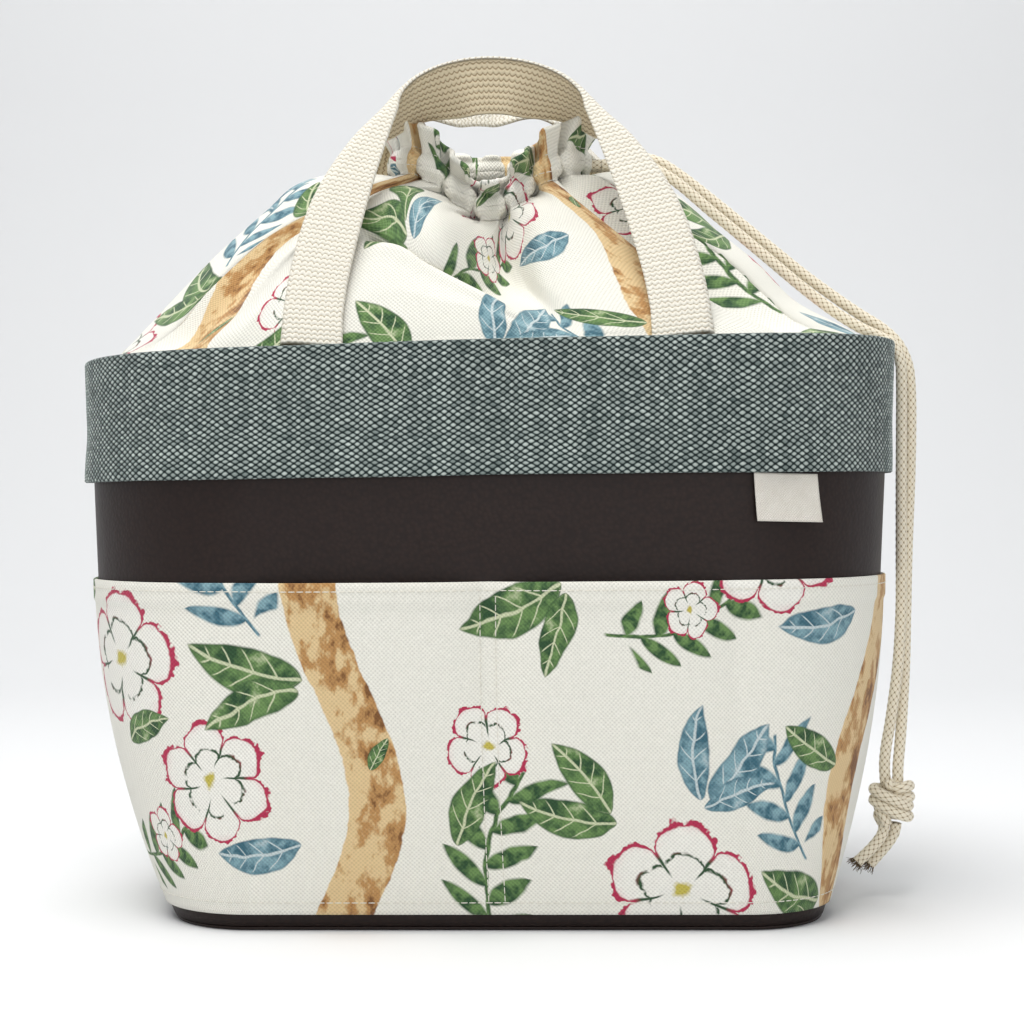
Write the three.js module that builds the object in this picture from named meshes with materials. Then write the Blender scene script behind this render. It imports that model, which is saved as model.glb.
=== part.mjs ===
// Knitting basket: a stiffened fabric tote with a tweed cuff, a faux-leather wall, canvas pockets,
// two webbing handles and a canvas collar that a drawcord gathers shut.
// Millimetres, +Z up. The origin is at the middle of the base, the front faces -Y.
import * as THREE from "three";

// Driving dimensions of the basket
const rimHeight = 245;
const rimHalfWidth = 179.3; // the outer face of the faux-leather wall, as are the next values
const rimHalfDepth = 99.6;
const rimCornerRadius = 83;
const bellyHeight = 147; // the wall draws in below here
const bellyHalfWidth = 175;
const bellyHalfDepth = 98;
const bellyCornerRadius = 78;
const baseHalfWidth = 140.5;
const baseHalfDepth = 85;
const baseCornerRadius = 36;

// Fabrics
const clearance = 0.3; // between two pieces that lie on each other
const leather = 1.2;
const foam = 2.5;
const liningCloth = 0.8;
const canvas = 0.8;
const collarCanvas = 1;
const tweed = 1.8;

// Heights of the pieces' edges
const baseThickness = 1.5;
const boardThickness = 2;
const boardInset = 6;
const cuffHeight = 55;
const cuffTurnIn = 25; // how far the cuff goes down inside
const cuffRounding = 1.7;
const pocketFoot = 7;
const pocketHeight = 139.5;
const pocketHem = 9;
const pocketHemExtra = 0.7; // the hem is folded double
const pocketSlack = 6; // how far each pocket stands off the wall at its mouth
const pocketMiddle = 52; // from the divider seam to the middle of a front pocket
const pocketReach = 50; // half the width of the part that stands off
const liningStep = 12; // the height over which the lining steps in to the rim's seam
const liningTopDrop = 6;
const sewnDepth = 28; // how far handles and collar reach down into the rim's seam
const collarSewnDepth = 22;

// Handles
const webbingWidth = 25.4;
const webbing = 2;
const footSpacing = 154;
const archHeight = 142; // from the seam to the top of the crown, along the handle
const backArchExtra = 7; // the back handle stands a little higher
const frontLean = 25; // degrees, towards the middle
const backLean = 12;
const rollRadius = 4.5;
const rollShare = 0.62; // a narrow band rolls round this share of its forward-facing width
const rollTightest = 1.7;
const rollAngle = 155; // degrees, how far the band turns back at the crown
const foldGap = 0.9; // from the cuff's rim to the lowest face of a folded strap

// Collar
const neckHeight = 334; // the cord's middle
const neckHalfWidth = 42;
const neckHalfDepth = 20;
const neckCornerRadius = 17;
const neckFrontDip = 14; // the casing droops at the front
const casingHalfHeight = 7;
const headingHeight = 17; // from the cord to the top of the ruffle
const hemDrop = 2; // the hem's edge below the casing's lower seam
const pleats = 12;
const ruffle = 4.5;
const cordDoor = 8.5; // half the opening in the right-hand side seam where the cord comes out

// Drawcord
const cordDiameter = 5;
const knotHeight = 17.5;
const knotWidth = 18;

// Cloth tag
const tagWidth = 29;
const tagHeight = 20;
const tagThickness = 0.5;
const tagPlace = 123; // from the middle of the front
const tagGap = 0.5;

// Places that follow from the sizes above
const wallFoot = baseThickness + clearance;
const wallTop = rimHeight - tweed - clearance;
const cuffFoot = rimHeight - cuffHeight;
const foamOuter = -(leather + clearance);
const foamInner = foamOuter - foam;
const turnInOuter = foamInner - clearance;
const turnInInner = turnInOuter - tweed;
const webbingOuter = turnInInner - clearance;
const webbingMiddle = webbingOuter - webbing / 2;
const collarOuter = webbingOuter - webbing - clearance;
const collarInner = collarOuter - collarCanvas;
const liningTopOuter = collarInner - clearance;
const cuffOuter = clearance + tweed;
const liningTop = rimHeight - liningTopDrop;

const foldHeight = rimHeight + foldGap + webbing / 2;
const foldLength = cuffOuter - webbingMiddle + webbing / 2 + 2 * clearance;
const foldDepth = rimHalfDepth + webbingMiddle;

const colours = {
  leather: 0x3a2e2a,
  tweed: 0x6d7d7a,
  canvas: 0xeeece1,
  webbing: 0xf1eadb,
  lining: 0xdcd6c6,
  foam: 0xf4f2ee,
  board: 0x8a8378,
  cord: 0xe6dcc6,
};

const basket = new THREE.Group();

function addPiece(parent, name, geometry, colour, roughness = 0.9) {
  const material = new THREE.MeshStandardMaterial({ color: colour, roughness, metalness: 0 });
  const mesh = new THREE.Mesh(geometry, material);
  mesh.name = name;
  parent.add(mesh);
  return mesh;
}

const vectors = (rows) => rows.map((row) => new THREE.Vector3(...row));

// Closed surfaces from rings of points

function signedVolume(points, faces) {
  return faces.reduce((sum, [a, b, c]) => {
    const cross = new THREE.Vector3().crossVectors(points[b], points[c]);
    return sum + points[a].dot(cross) / 6;
  }, 0);
}

function solidOf(points, faces) {
  const turned = signedVolume(points, faces) < 0;
  const geometry = new THREE.BufferGeometry().setFromPoints(points);
  geometry.setIndex(faces.flatMap(([a, b, c]) => (turned ? [a, c, b] : [a, b, c])));
  geometry.computeVertexNormals();
  return geometry;
}

// Joins closed rings of equal length into one skin, with a flat lid on the first and the last ring.
function loft(rings, lidShape) {
  const size = rings[0].length;
  const points = rings.flat();
  const faces = [];
  for (let ring = 0; ring + 1 < rings.length; ring++) {
    for (let i = 0; i < size; i++) {
      const next = (i + 1) % size;
      const [a, b] = [ring * size + i, ring * size + next];
      const [c, d] = [a + size, b + size];
      const acrossAD = points[a].distanceTo(points[d]) <= points[b].distanceTo(points[c]);
      if (acrossAD) faces.push([a, b, d], [a, d, c]);
      else faces.push([a, b, c], [b, d, c]);
    }
  }
  const lid = THREE.ShapeUtils.triangulateShape(lidShape, []);
  const lastRing = (rings.length - 1) * size;
  const outward = THREE.ShapeUtils.area(lidShape) < 0;
  for (const [a, b, c] of lid) {
    const near = outward ? [a, b, c] : [a, c, b];
    faces.push(near, [near[0] + lastRing, near[2] + lastRing, near[1] + lastRing]);
  }
  return solidOf(points, faces);
}

// The basket's plan

// A plan is a rounded rectangle. A turn of 1 is a quarter of the way round, from +X towards +Y.
const sideShare = 0.1;
const cornerShare = 0.5;

function quarterPoint(plan, offset, share) {
  const straightX = plan.halfWidth - plan.cornerRadius;
  const straightY = plan.halfDepth - plan.cornerRadius;
  const radius = plan.cornerRadius + offset;
  if (share <= sideShare) return [plan.halfWidth + offset, (straightY * share) / sideShare];
  if (share <= sideShare + cornerShare) {
    const angle = ((share - sideShare) / cornerShare) * (Math.PI / 2);
    return [straightX + radius * Math.cos(angle), straightY + radius * Math.sin(angle)];
  }
  const rest = (1 - share) / (1 - sideShare - cornerShare);
  return [straightX * rest, plan.halfDepth + offset];
}

function planPoint(plan, offset, turn) {
  const quarter = Math.min(Math.floor(turn), 3);
  const forward = quarter % 2 === 0;
  const [x, y] = quarterPoint(plan, offset, forward ? turn - quarter : quarter + 1 - turn);
  return [quarter === 1 || quarter === 2 ? -x : x, quarter >= 2 ? -y : y];
}

function mixPlan(low, high, share) {
  return {
    halfWidth: THREE.MathUtils.lerp(low.halfWidth, high.halfWidth, share),
    halfDepth: THREE.MathUtils.lerp(low.halfDepth, high.halfDepth, share),
    cornerRadius: THREE.MathUtils.lerp(low.cornerRadius, high.cornerRadius, share),
  };
}

const basePlan = {
  halfWidth: baseHalfWidth,
  halfDepth: baseHalfDepth,
  cornerRadius: baseCornerRadius,
};
const bellyPlan = {
  halfWidth: bellyHalfWidth,
  halfDepth: bellyHalfDepth,
  cornerRadius: bellyCornerRadius,
};
const rimPlan = {
  halfWidth: rimHalfWidth,
  halfDepth: rimHalfDepth,
  cornerRadius: rimCornerRadius,
};

// The outer face of the faux-leather wall at a height.
function wallPlan(height) {
  if (height < bellyHeight) {
    return mixPlan(bellyPlan, basePlan, (1 - height / bellyHeight) ** 2);
  }
  const share = (height - bellyHeight) / (rimHeight - bellyHeight);
  return mixPlan(bellyPlan, rimPlan, Math.min(share, 1));
}

// Half shells: each panel runs from one side seam to the other

const halfRound = 2; // quarter turns from one side seam to the other
const halves = [
  { side: "back", start: 0 },
  { side: "front", start: halfRound },
];

const cornerSteps = 7;

function turnsBetween(start, straightSteps) {
  const steps = [];
  for (let i = 0; i < cornerSteps; i++) steps.push(sideShare + (cornerShare * i) / cornerSteps);
  const straightShare = 1 - sideShare - cornerShare;
  for (let i = 0; i < straightSteps; i++) {
    steps.push(sideShare + cornerShare + (straightShare * i) / straightSteps);
  }
  const quarter = [0, ...steps];
  const mirrored = quarter.map((share) => halfRound - share).reverse();
  return [...quarter, 1, ...mirrored].map((share) => start + share);
}

// A profile gives, at a turn, a closed outline of {plan, offset, height} round a panel's section.
function halfShell(turns, profile) {
  const last = turns.length - 1;
  const rings = turns.map((turn, index) => {
    const onSeam = index === 0 || index === last;
    return profile(turn).map(({ plan, offset, height, ownTurn = turn }) => {
      const [x, y] = planPoint(plan, offset, ownTurn);
      const seamY = (turns[0] < halfRound ? 1 : -1) * (clearance / 2);
      return new THREE.Vector3(x, onSeam && ownTurn === turn ? seamY : y, height);
    });
  });
  const lidShape = profile(turns[0]).map(
    ({ plan, offset, height }) => new THREE.Vector2(plan.halfWidth + offset, height),
  );
  return loft(rings, lidShape);
}

const onWall = (offset, height) => ({ plan: wallPlan(height), offset, height });

// A sheet of even thickness that follows the wall.
function wallSheet(outer, inner, heights) {
  const outside = heights.map((height) => onWall(outer, height));
  const inside = heights.map((height) => onWall(inner, height)).reverse();
  return [...outside, ...inside];
}

const lowWallShares = [0.07, 0.2, 0.38, 0.66];
const lowWallHeights = lowWallShares.map((share) => share * bellyHeight);

function addWallPanels(name, colour, profile, { straightSteps = 1, roughness } = {}) {
  for (const { side, start } of halves) {
    const turns = turnsBetween(start, straightSteps);
    addPiece(basket, `${side}_${name}`, halfShell(turns, profile), colour, roughness);
  }
}

// Base: a panel that the basket stands on, with a stiff board and the lining over it

function plate(plan, inset, low, high) {
  const turns = turnsBetween(0, 1).slice(0, -1);
  const loop = [...turns, ...turns.map((turn) => turn + halfRound)];
  const ringAt = (offset, height) =>
    loop.map((turn) => new THREE.Vector3(...planPoint(plan, offset, turn), height));
  const rings = [ringAt(-inset, low), ringAt(-inset, high)];
  const lidShape = rings[0].map((point) => new THREE.Vector2(point.x, point.y));
  return loft(rings, lidShape);
}

const boardFoot = wallFoot;
const liningFloor = boardFoot + boardThickness + clearance;

function addBase() {
  addPiece(basket, "base_panel", plate(basePlan, 0, 0, baseThickness), colours.leather, 0.6);
  const board = plate(basePlan, boardInset, boardFoot, boardFoot + boardThickness);
  addPiece(basket, "base_board", board, colours.board);
  const floorTop = liningFloor + liningCloth;
  const floor = plate(basePlan, boardInset, liningFloor, floorTop);
  addPiece(basket, "base_lining", floor, colours.lining);
}

// Wall: faux leather outside, foam and lining inside

function addWalls() {
  const wallHeights = [wallFoot, ...lowWallHeights, bellyHeight, wallTop];
  const leatherProfile = () => wallSheet(0, -leather, wallHeights);
  addWallPanels("leather_wall", colours.leather, leatherProfile, { roughness: 0.6 });
  addWallPanels("interlining", colours.foam, () => wallSheet(foamOuter, foamInner, wallHeights));

  const liningOuter = turnInOuter;
  const stepTop = rimHeight - sewnDepth - clearance;
  const stepFoot = stepTop - liningStep;
  const lowHeights = [wallFoot, ...lowWallHeights, bellyHeight, stepFoot];
  const liningProfile = () => [
    ...lowHeights.map((height) => onWall(liningOuter, height)),
    onWall(liningTopOuter, stepTop),
    onWall(liningTopOuter, liningTop),
    onWall(liningTopOuter - liningCloth, liningTop),
    onWall(liningTopOuter - liningCloth, stepTop),
    ...lowHeights.map((height) => onWall(liningOuter - liningCloth, height)).reverse(),
  ];
  addWallPanels("lining", colours.lining, liningProfile);
}

// Cuff: one band of tweed that is turned over the rim

function addCuff() {
  const cuffTop = rimHeight;
  const roundFoot = cuffTop - cuffRounding;
  const midRound = cuffRounding * Math.SQRT1_2;
  const profile = () => [
    onWall(clearance, cuffFoot),
    onWall(cuffOuter, cuffFoot),
    onWall(cuffOuter, roundFoot),
    onWall(cuffOuter - cuffRounding + midRound, roundFoot + midRound),
    onWall(cuffOuter - cuffRounding, cuffTop),
    onWall(turnInInner + cuffRounding, cuffTop),
    onWall(turnInInner + cuffRounding - midRound, roundFoot + midRound),
    onWall(turnInInner, roundFoot),
    onWall(turnInInner, cuffTop - cuffTurnIn),
    onWall(turnInOuter, cuffTop - cuffTurnIn),
    onWall(turnInOuter, cuffTop - tweed),
    onWall(clearance, cuffTop - tweed),
  ];
  addWallPanels("cuff", colours.tweed, profile);
}

// Pockets: a panel sewn at the foot, at the side seams and down the middle

function pocketBulge(turn, height) {
  const [x] = planPoint(wallPlan(height), 0, turn);
  const across = (Math.abs(x) - pocketMiddle) / pocketReach;
  const down = (pocketFoot + pocketHeight - height) / pocketHeight;
  return pocketSlack * Math.max(0, 1 - across ** 4) * (1 - down ** 2);
}

function addPockets() {
  const pocketTop = pocketFoot + pocketHeight;
  const hemFoot = pocketTop - pocketHem;
  const heights = [pocketFoot, ...lowWallHeights, hemFoot];
  const profile = (turn) => {
    const stand = (height) => clearance + pocketBulge(turn, height);
    const face = (extra, height) => onWall(stand(height) + extra, height);
    return [
      ...heights.map((height) => face(canvas, height)),
      face(canvas + pocketHemExtra, hemFoot),
      face(canvas + pocketHemExtra, pocketTop),
      face(0, pocketTop),
      ...heights.map((height) => face(0, height)).reverse(),
    ];
  };
  addWallPanels("pocket", colours.canvas, profile, { straightSteps: 8 });
}

// Collar: it leaves the rim's seam, narrows in loose pleats to the neck, and ends in a casing for
// the cord with a ruffle above it. The hem is turned down inside.

const neckPlan = {
  halfWidth: neckHalfWidth,
  halfDepth: neckHalfDepth,
  cornerRadius: neckCornerRadius,
};
const collarFootPlan = {
  halfWidth: rimHalfWidth + collarOuter,
  halfDepth: rimHalfDepth + collarOuter,
  cornerRadius: rimCornerRadius + collarOuter,
};

// Each row has its share of the way out from the neck to the rim, its share of the way up from the
// rim to the casing, and its share of the full depth of a pleat.
const fullPleat = 7;
const collarRowShares = [
  { out: 0.876, up: 0.2, pleat: 0.1 },
  { out: 0.713, up: 0.4, pleat: 0.4 },
  { out: 0.535, up: 0.6, pleat: 0.7 },
  { out: 0.4, up: 0.81, pleat: 1 },
  { out: 0.28, up: 0.98, pleat: 0.85 },
];

const frontDroop = (x, y) =>
  y < 0 ? neckFrontDip * Math.max(0, Math.cos((Math.PI / 2) * (x / neckHalfWidth))) ** 2 : 0;

function collarProfile(turn) {
  const [neckX, neckY] = planPoint(neckPlan, 0, turn);
  const dip = frontDroop(neckX, neckY);
  const wave = Math.cos((Math.PI / 2) * pleats * turn);
  const casingFoot = neckHeight - casingHalfHeight;
  const open = cordDiameter / 2 + 4 * clearance;
  const shut = clearance / 2;

  const row = ({ out, up, pleat }, offset) => ({
    plan: mixPlan(neckPlan, collarFootPlan, out),
    offset: offset + fullPleat * pleat * wave,
    height: THREE.MathUtils.lerp(rimHeight, casingFoot, up) - dip * (1 - out),
  });
  const atNeck = (offset, rise, waving = 0) => ({
    plan: neckPlan,
    offset: offset + ruffle * waving * wave,
    height: neckHeight + rise - dip,
  });
  const foot = (offset, height) => onWall(collarOuter + offset, height);
  const sewnFoot = rimHeight - collarSewnDepth;
  const top = headingHeight;

  const outside = (offset) => [
    foot(offset - collarCanvas, sewnFoot),
    foot(offset - collarCanvas, rimHeight - clearance),
    ...collarRowShares.map((shares) => row(shares, offset - collarCanvas)),
  ];
  return [
    ...outside(collarCanvas),
    atNeck(shut + collarCanvas, -casingHalfHeight),
    atNeck(open + collarCanvas, 0),
    atNeck(shut + collarCanvas, casingHalfHeight),
    atNeck(shut + collarCanvas, top, 1),
    atNeck(-shut - collarCanvas, top, 1),
    atNeck(-shut - collarCanvas, casingHalfHeight),
    atNeck(-open - collarCanvas, 0),
    atNeck(-shut - collarCanvas, -casingHalfHeight - hemDrop),
    atNeck(-shut, -casingHalfHeight - hemDrop),
    atNeck(-open, 0),
    atNeck(-shut, casingHalfHeight),
    atNeck(-shut, top - collarCanvas, 1),
    atNeck(shut, top - collarCanvas, 1),
    atNeck(shut, casingHalfHeight),
    atNeck(open, 0),
    atNeck(shut, -casingHalfHeight),
    ...outside(0).reverse(),
  ];
}

const casingRows = [8, 21]; // the outer and the inner face of the casing at the cord, in the profile
const doorAngle = Math.asin(
  (cordDoor - (neckHalfDepth - neckCornerRadius)) / neckCornerRadius,
);
const doorTurn = sideShare + (cornerShare * doorAngle) / (Math.PI / 2);

// At the right-hand seam the casing stays open for the cord, so its rows start further round.
function collarPanel({ side, start }) {
  const columns = 3 * pleats;
  const turns = Array.from({ length: columns + 1 }, (_, i) => start + (halfRound * i) / columns);
  const pastDoor = (turn) => {
    const share = 1 - doorTurn / halfRound;
    return side === "back" ? doorTurn + turn * share : start + (turn - start) * share;
  };
  const profile = (turn) =>
    collarProfile(turn).map((point, row) => {
      if (!casingRows.includes(row)) return point;
      const ownTurn = pastDoor(turn);
      return { ...collarProfile(ownTurn)[row], ownTurn };
    });
  return halfShell(turns, profile);
}

function addCollar() {
  for (const half of halves) {
    addPiece(basket, `collar_${half.side}_panel`, collarPanel(half), colours.canvas);
  }
}

// Handles: the band stands flat on the rim. On the way up its outer edge rolls back more and more,
// so that its inner face shows at the crown.

const rollTurn = THREE.MathUtils.degToRad(rollAngle);
const footStart = foldLength + webbing / 2 + clearance;

// The band's inner edge from a foot to the crown: its shares of the way out and of the way up, and
// the share of the band's width that still faces forward there.
const strapEdgeShares = [
  { out: 0.994, up: 0.15, facing: 1 },
  { out: 0.967, up: 0.211, facing: 1 },
  { out: 0.896, up: 0.373, facing: 0.992 },
  { out: 0.813, up: 0.535, facing: 0.85 },
  { out: 0.726, up: 0.683, facing: 0.606 },
  { out: 0.68, up: 0.757, facing: 0.417 },
  { out: 0.635, up: 0.82, facing: 0.252 },
  { out: 0.569, up: 0.88, facing: 0.154 },
  { out: 0.467, up: 0.933, facing: 0.106 },
  { out: 0.319, up: 0.973, facing: 0.083 },
  { out: 0.159, up: 0.994, facing: 0.075 },
];

// The same edge in X and Y of a vector, with the forward-facing width as its Z.
function strapEdge(height) {
  const foot = (footSpacing - webbingWidth) / 2;
  const half = strapEdgeShares.map(
    ({ out, up, facing }) => new THREE.Vector3(out * foot, up * height, facing * webbingWidth),
  );
  const crown = new THREE.Vector3(0, height, half.at(-1).z);
  const right = [new THREE.Vector3(foot, footStart, webbingWidth), ...half];
  const left = right.map((point) => new THREE.Vector3(-point.x, point.y, point.z));
  return new THREE.CatmullRomCurve3([...left, crown, ...right.reverse()]);
}

const strapSteps = 46;
const strapColumns = 11;

const inPlane = (point) => new THREE.Vector2(point.x, point.y);
const squareTo = (direction) => new THREE.Vector2(-direction.y, direction.x);

// The direction of a line of points at each of them.
function directions(points) {
  return points.map((_, i) => {
    const before = points[Math.max(i - 1, 0)];
    const after = points[Math.min(i + 1, points.length - 1)];
    return new THREE.Vector2().subVectors(after, before).normalize();
  });
}

// The band's middle surface as rows across it, in the handle's plane with the depth behind it as Y.
function strapRows(height) {
  const edge = strapEdge(height).getSpacedPoints(strapSteps);
  const line = edge.map(inPlane);
  const outwards = directions(line).map(squareTo);
  const rim = line.map((point, i) => point.clone().addScaledVector(outwards[i], edge[i].z));
  const rulings = directions(rim);
  const step = webbingWidth / (strapColumns - 1);
  return edge.map(({ z: facing }, i) => {
    const radius = THREE.MathUtils.clamp(rollShare * facing, rollTightest, rollRadius);
    const straight = Math.max(0, facing - radius);
    const skew = outwards[i].dot(rulings[i]);
    const square = Math.sqrt(1 - skew ** 2);
    const normal = squareTo(rulings[i]);
    const row = [new THREE.Vector3(line[i].x, 0, line[i].y)];
    for (let column = 1; column < strapColumns; column++) {
      const past = column * step - step / 2 - straight;
      const turned = THREE.MathUtils.clamp(past / radius, 0, rollTurn);
      const flat = rulings[i]
        .clone()
        .multiplyScalar(skew)
        .addScaledVector(normal, square * Math.cos(turned));
      const way = new THREE.Vector3(flat.x, square * Math.sin(turned), flat.y);
      row.push(row.at(-1).clone().addScaledVector(way, step));
    }
    return row;
  });
}

function strapGeometry(height) {
  const rows = strapRows(height);
  const at = (row, column) => rows[row][column];
  const clampRow = (row) => THREE.MathUtils.clamp(row, 0, rows.length - 1);
  const clampColumn = (column) => THREE.MathUtils.clamp(column, 0, strapColumns - 1);
  const normalAt = (row, column) => {
    const along = at(clampRow(row + 1), column).clone().sub(at(clampRow(row - 1), column));
    const across = at(row, clampColumn(column + 1)).clone().sub(at(row, clampColumn(column - 1)));
    return along.cross(across).normalize();
  };
  const rings = rows.map((points, row) => {
    const face = (sign) =>
      points.map((point, column) =>
        point.clone().addScaledVector(normalAt(row, column), (sign * webbing) / 2),
      );
    return [...face(1), ...face(-1).reverse()];
  });
  const step = webbingWidth / (strapColumns - 1);
  const side = (height) =>
    Array.from({ length: strapColumns }, (_, i) => new THREE.Vector2(i * step, height));
  return loft(rings, [...side(webbing), ...side(0).reverse()]);
}

// The length of strap between the rim's seam and the rim's outer edge, with round ends.
function foldGeometry() {
  const shape = new THREE.Shape();
  const radius = webbing / 2;
  shape.absarc(0, 0, radius, Math.PI, 2 * Math.PI, false);
  shape.absarc(0, foldLength, radius, 0, Math.PI, false);
  const geometry = new THREE.ExtrudeGeometry(shape, {
    depth: webbingWidth,
    bevelEnabled: false,
    curveSegments: 5,
  });
  geometry.rotateX(Math.PI / 2);
  geometry.rotateZ(Math.PI / 2);
  geometry.translate(-webbingWidth / 2, 0, 0);
  return geometry;
}

// The end that is sewn into the rim follows the wall's slope.
function sewnEndGeometry(low, high) {
  const half = webbingWidth / 2;
  const rings = [low, rimHeight, high].map((height) => {
    const outer = -(wallPlan(height).halfDepth + webbingOuter);
    const inner = outer + webbing;
    return vectors([
      [-half, outer, height],
      [half, outer, height],
      [half, inner, height],
      [-half, inner, height],
    ]);
  });
  const lidShape = rings[0].map((point) => new THREE.Vector2(point.x, point.y));
  return loft(rings, lidShape);
}

function addHandle(side, lean, height) {
  const place = new THREE.Group();
  place.rotation.z = side === "front" ? 0 : Math.PI;
  basket.add(place);
  const sides = side === "front" ? ["left", "right"] : ["right", "left"];

  const endTop = foldHeight - webbing / 2 - clearance;
  const endFoot = rimHeight - sewnDepth;
  const strap = new THREE.Group();
  strap.position.set(0, -foldDepth, foldHeight);
  strap.rotation.x = -THREE.MathUtils.degToRad(lean);
  place.add(strap);
  sides.forEach((name, index) => {
    const x = (index === 0 ? -footSpacing : footSpacing) / 2;
    const endShape = sewnEndGeometry(endFoot, endTop);
    const end = addPiece(place, `${side}_handle_${name}_end`, endShape, colours.webbing);
    end.position.x = x;
    const fold = addPiece(strap, `${side}_handle_${name}_fold`, foldGeometry(), colours.webbing);
    fold.position.x = x;
  });
  addPiece(strap, `${side}_handle`, strapGeometry(height), colours.webbing);
}

// Cloth tag, sewn in under the cuff's lower edge

function addTag() {
  const plan = wallPlan(cuffFoot);
  const offset = tagGap + tagThickness / 2;
  const radius = plan.cornerRadius + offset;
  const angle = Math.asin((tagPlace - (plan.halfWidth - plan.cornerRadius)) / radius);
  const shape = new THREE.BoxGeometry(tagWidth, tagThickness, tagHeight);
  const tag = addPiece(basket, "cloth_tag", shape, colours.webbing);
  const y = -(plan.halfDepth - plan.cornerRadius + radius * Math.cos(angle));
  tag.position.set(tagPlace, y, cuffFoot - tagGap - tagHeight / 2);
  tag.rotation.z = angle;
}

// Drawcord

function tube(points, sides, steps) {
  const curve = new THREE.CatmullRomCurve3(points, false, "centripetal");
  const section = new THREE.Shape();
  const radius = cordDiameter / 2;
  for (let i = 0; i < sides; i++) {
    const angle = (2 * Math.PI * i) / sides;
    const [x, y] = [radius * Math.cos(angle), radius * Math.sin(angle)];
    if (i === 0) section.moveTo(x, y);
    else section.lineTo(x, y);
  }
  section.closePath();
  return new THREE.ExtrudeGeometry(section, { steps, extrudePath: curve, bevelEnabled: false });
}

const cordSides = 8;

// Inside the casing the cord follows the neck, and both its ends turn out through the side seam.
const doorStraight = 6;
const cordDoorPlace = 3.2; // each strand's distance from the seam
const loopTurns = 3.55;

function addCordLoop() {
  const steps = 30;
  const first = (4 - loopTurns) / 2;
  const inside = Array.from({ length: steps + 1 }, (_, i) => {
    const turn = first + (loopTurns * i) / steps;
    const [x, y] = planPoint(neckPlan, 0, turn);
    return [x, y, neckHeight - frontDroop(x, y)];
  });
  const doorX = neckHalfWidth + cordDiameter / 2;
  const out = (sign) => [
    [doorX + doorStraight, sign * cordDoorPlace, neckHeight],
    [doorX, sign * cordDoorPlace, neckHeight],
  ];
  const points = vectors([...out(1), ...inside, ...out(-1).reverse()]);
  addPiece(basket, "drawcord_loop", tube(points, cordSides, 36), colours.cord);
}

// The free strands hang over the rim on the right-hand side. Their points are chosen by hand.
const strandFront = [
  [51, -3.2, 334],
  [56, -3.2, 334.2],
  [62, -3.3, 334.6],
  [68.5, -3.6, 334.3],
  [77, -4, 331.2],
  [87, -4.8, 324.6],
  [100, -6, 313.2],
  [114, -7.6, 301.3],
  [128, -9.4, 289.2],
  [142, -11.4, 277],
  [155, -13.6, 266.2],
  [166.5, -15.8, 257.6],
  [175.6, -17.6, 252.6],
  [182, -18.8, 248.8],
  [184.9, -19.4, 241.5],
  [185.5, -19.6, 232],
  [185.6, -19.6, 215],
  [185.6, -19.6, 190],
  [185.6, -19.7, 160],
  [185.4, -19.9, 130],
  [184.2, -19.8, 105],
  [181.4, -19, 82],
  [179.3, -18, 68],
  [178.8, -17.2, 60],
  [179.2, -17, 52.2],
];
const strandBack = [
  [51, 3.2, 334],
  [56, 3.2, 334.3],
  [62, 3.1, 336],
  [69, 2.8, 338.2],
  [78, 2.2, 336],
  [88, 1.2, 329.6],
  [101, -0.4, 319.2],
  [115, -2.4, 307.4],
  [129, -4.6, 295.4],
  [143, -6.8, 283.4],
  [156.5, -9, 272.6],
  [168.4, -11.2, 263.6],
  [178, -13, 256.6],
  [185, -14.2, 249.6],
  [189.2, -14.8, 241],
  [190.6, -15, 231],
  [190.9, -15, 215],
  [190.6, -14.8, 190],
  [189.6, -14.2, 160],
  [189, -14, 130],
  [188.4, -14.4, 105],
  [187, -15.4, 82],
  [185.8, -16.4, 68],
  [185, -16.9, 60],
  [184.8, -17, 52.2],
];
const knotMiddle = [182, -17, 42.9];
const tailFront = [
  [178.6, -18.2, 33.9],
  [177.6, -18.6, 29],
  [174.4, -19.2, 24.6],
  [170.2, -19.8, 20.4],
  [165.8, -20.2, 16.4],
];
const tailBack = [
  [184.2, -16.6, 33.7],
  [183.4, -16.2, 29],
  [180.6, -15.6, 24.2],
  [176.8, -15, 19.4],
  [172.6, -14.6, 14.4],
];

function knotGeometry() {
  const rings = 8;
  const waist = 0.86; // the knot is a little narrower between its two wraps
  const profile = Array.from({ length: rings + 1 }, (_, i) => {
    const angle = (Math.PI * i) / rings;
    const pinch = i === rings / 2 ? waist : 1;
    const radius = i === 0 || i === rings ? 0 : (knotWidth / 2) * Math.sin(angle) * pinch;
    return new THREE.Vector2(radius, (-knotHeight / 2) * Math.cos(angle));
  });
  const geometry = new THREE.LatheGeometry(profile, 12);
  geometry.rotateX(Math.PI / 2);
  return geometry;
}

function addDrawcord() {
  addCordLoop();
  const strandSteps = 36;
  const strands = { strand_front: strandFront, strand_back: strandBack };
  for (const [name, points] of Object.entries(strands)) {
    const geometry = tube(vectors(points), cordSides, strandSteps);
    addPiece(basket, `drawcord_${name}`, geometry, colours.cord);
  }
  const tailSteps = 6;
  for (const [name, points] of Object.entries({ tail_front: tailFront, tail_back: tailBack })) {
    addPiece(basket, `drawcord_${name}`, tube(vectors(points), cordSides, tailSteps), colours.cord);
  }
  const knot = addPiece(basket, "drawcord_knot", knotGeometry(), colours.cord);
  knot.position.set(...knotMiddle);
}

addBase();
addWalls();
addCuff();
addPockets();
addCollar();
addHandle("front", frontLean, archHeight);
addHandle("back", backLean, archHeight + backArchExtra);
addTag();
addDrawcord();

export default basket;
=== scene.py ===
"""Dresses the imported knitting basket: cloth, webbing, cord and stitches round the CAD frame.

Every length is in metres, in the CAD's frame: +Z up, the front faces -Y.
"""

import math

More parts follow.
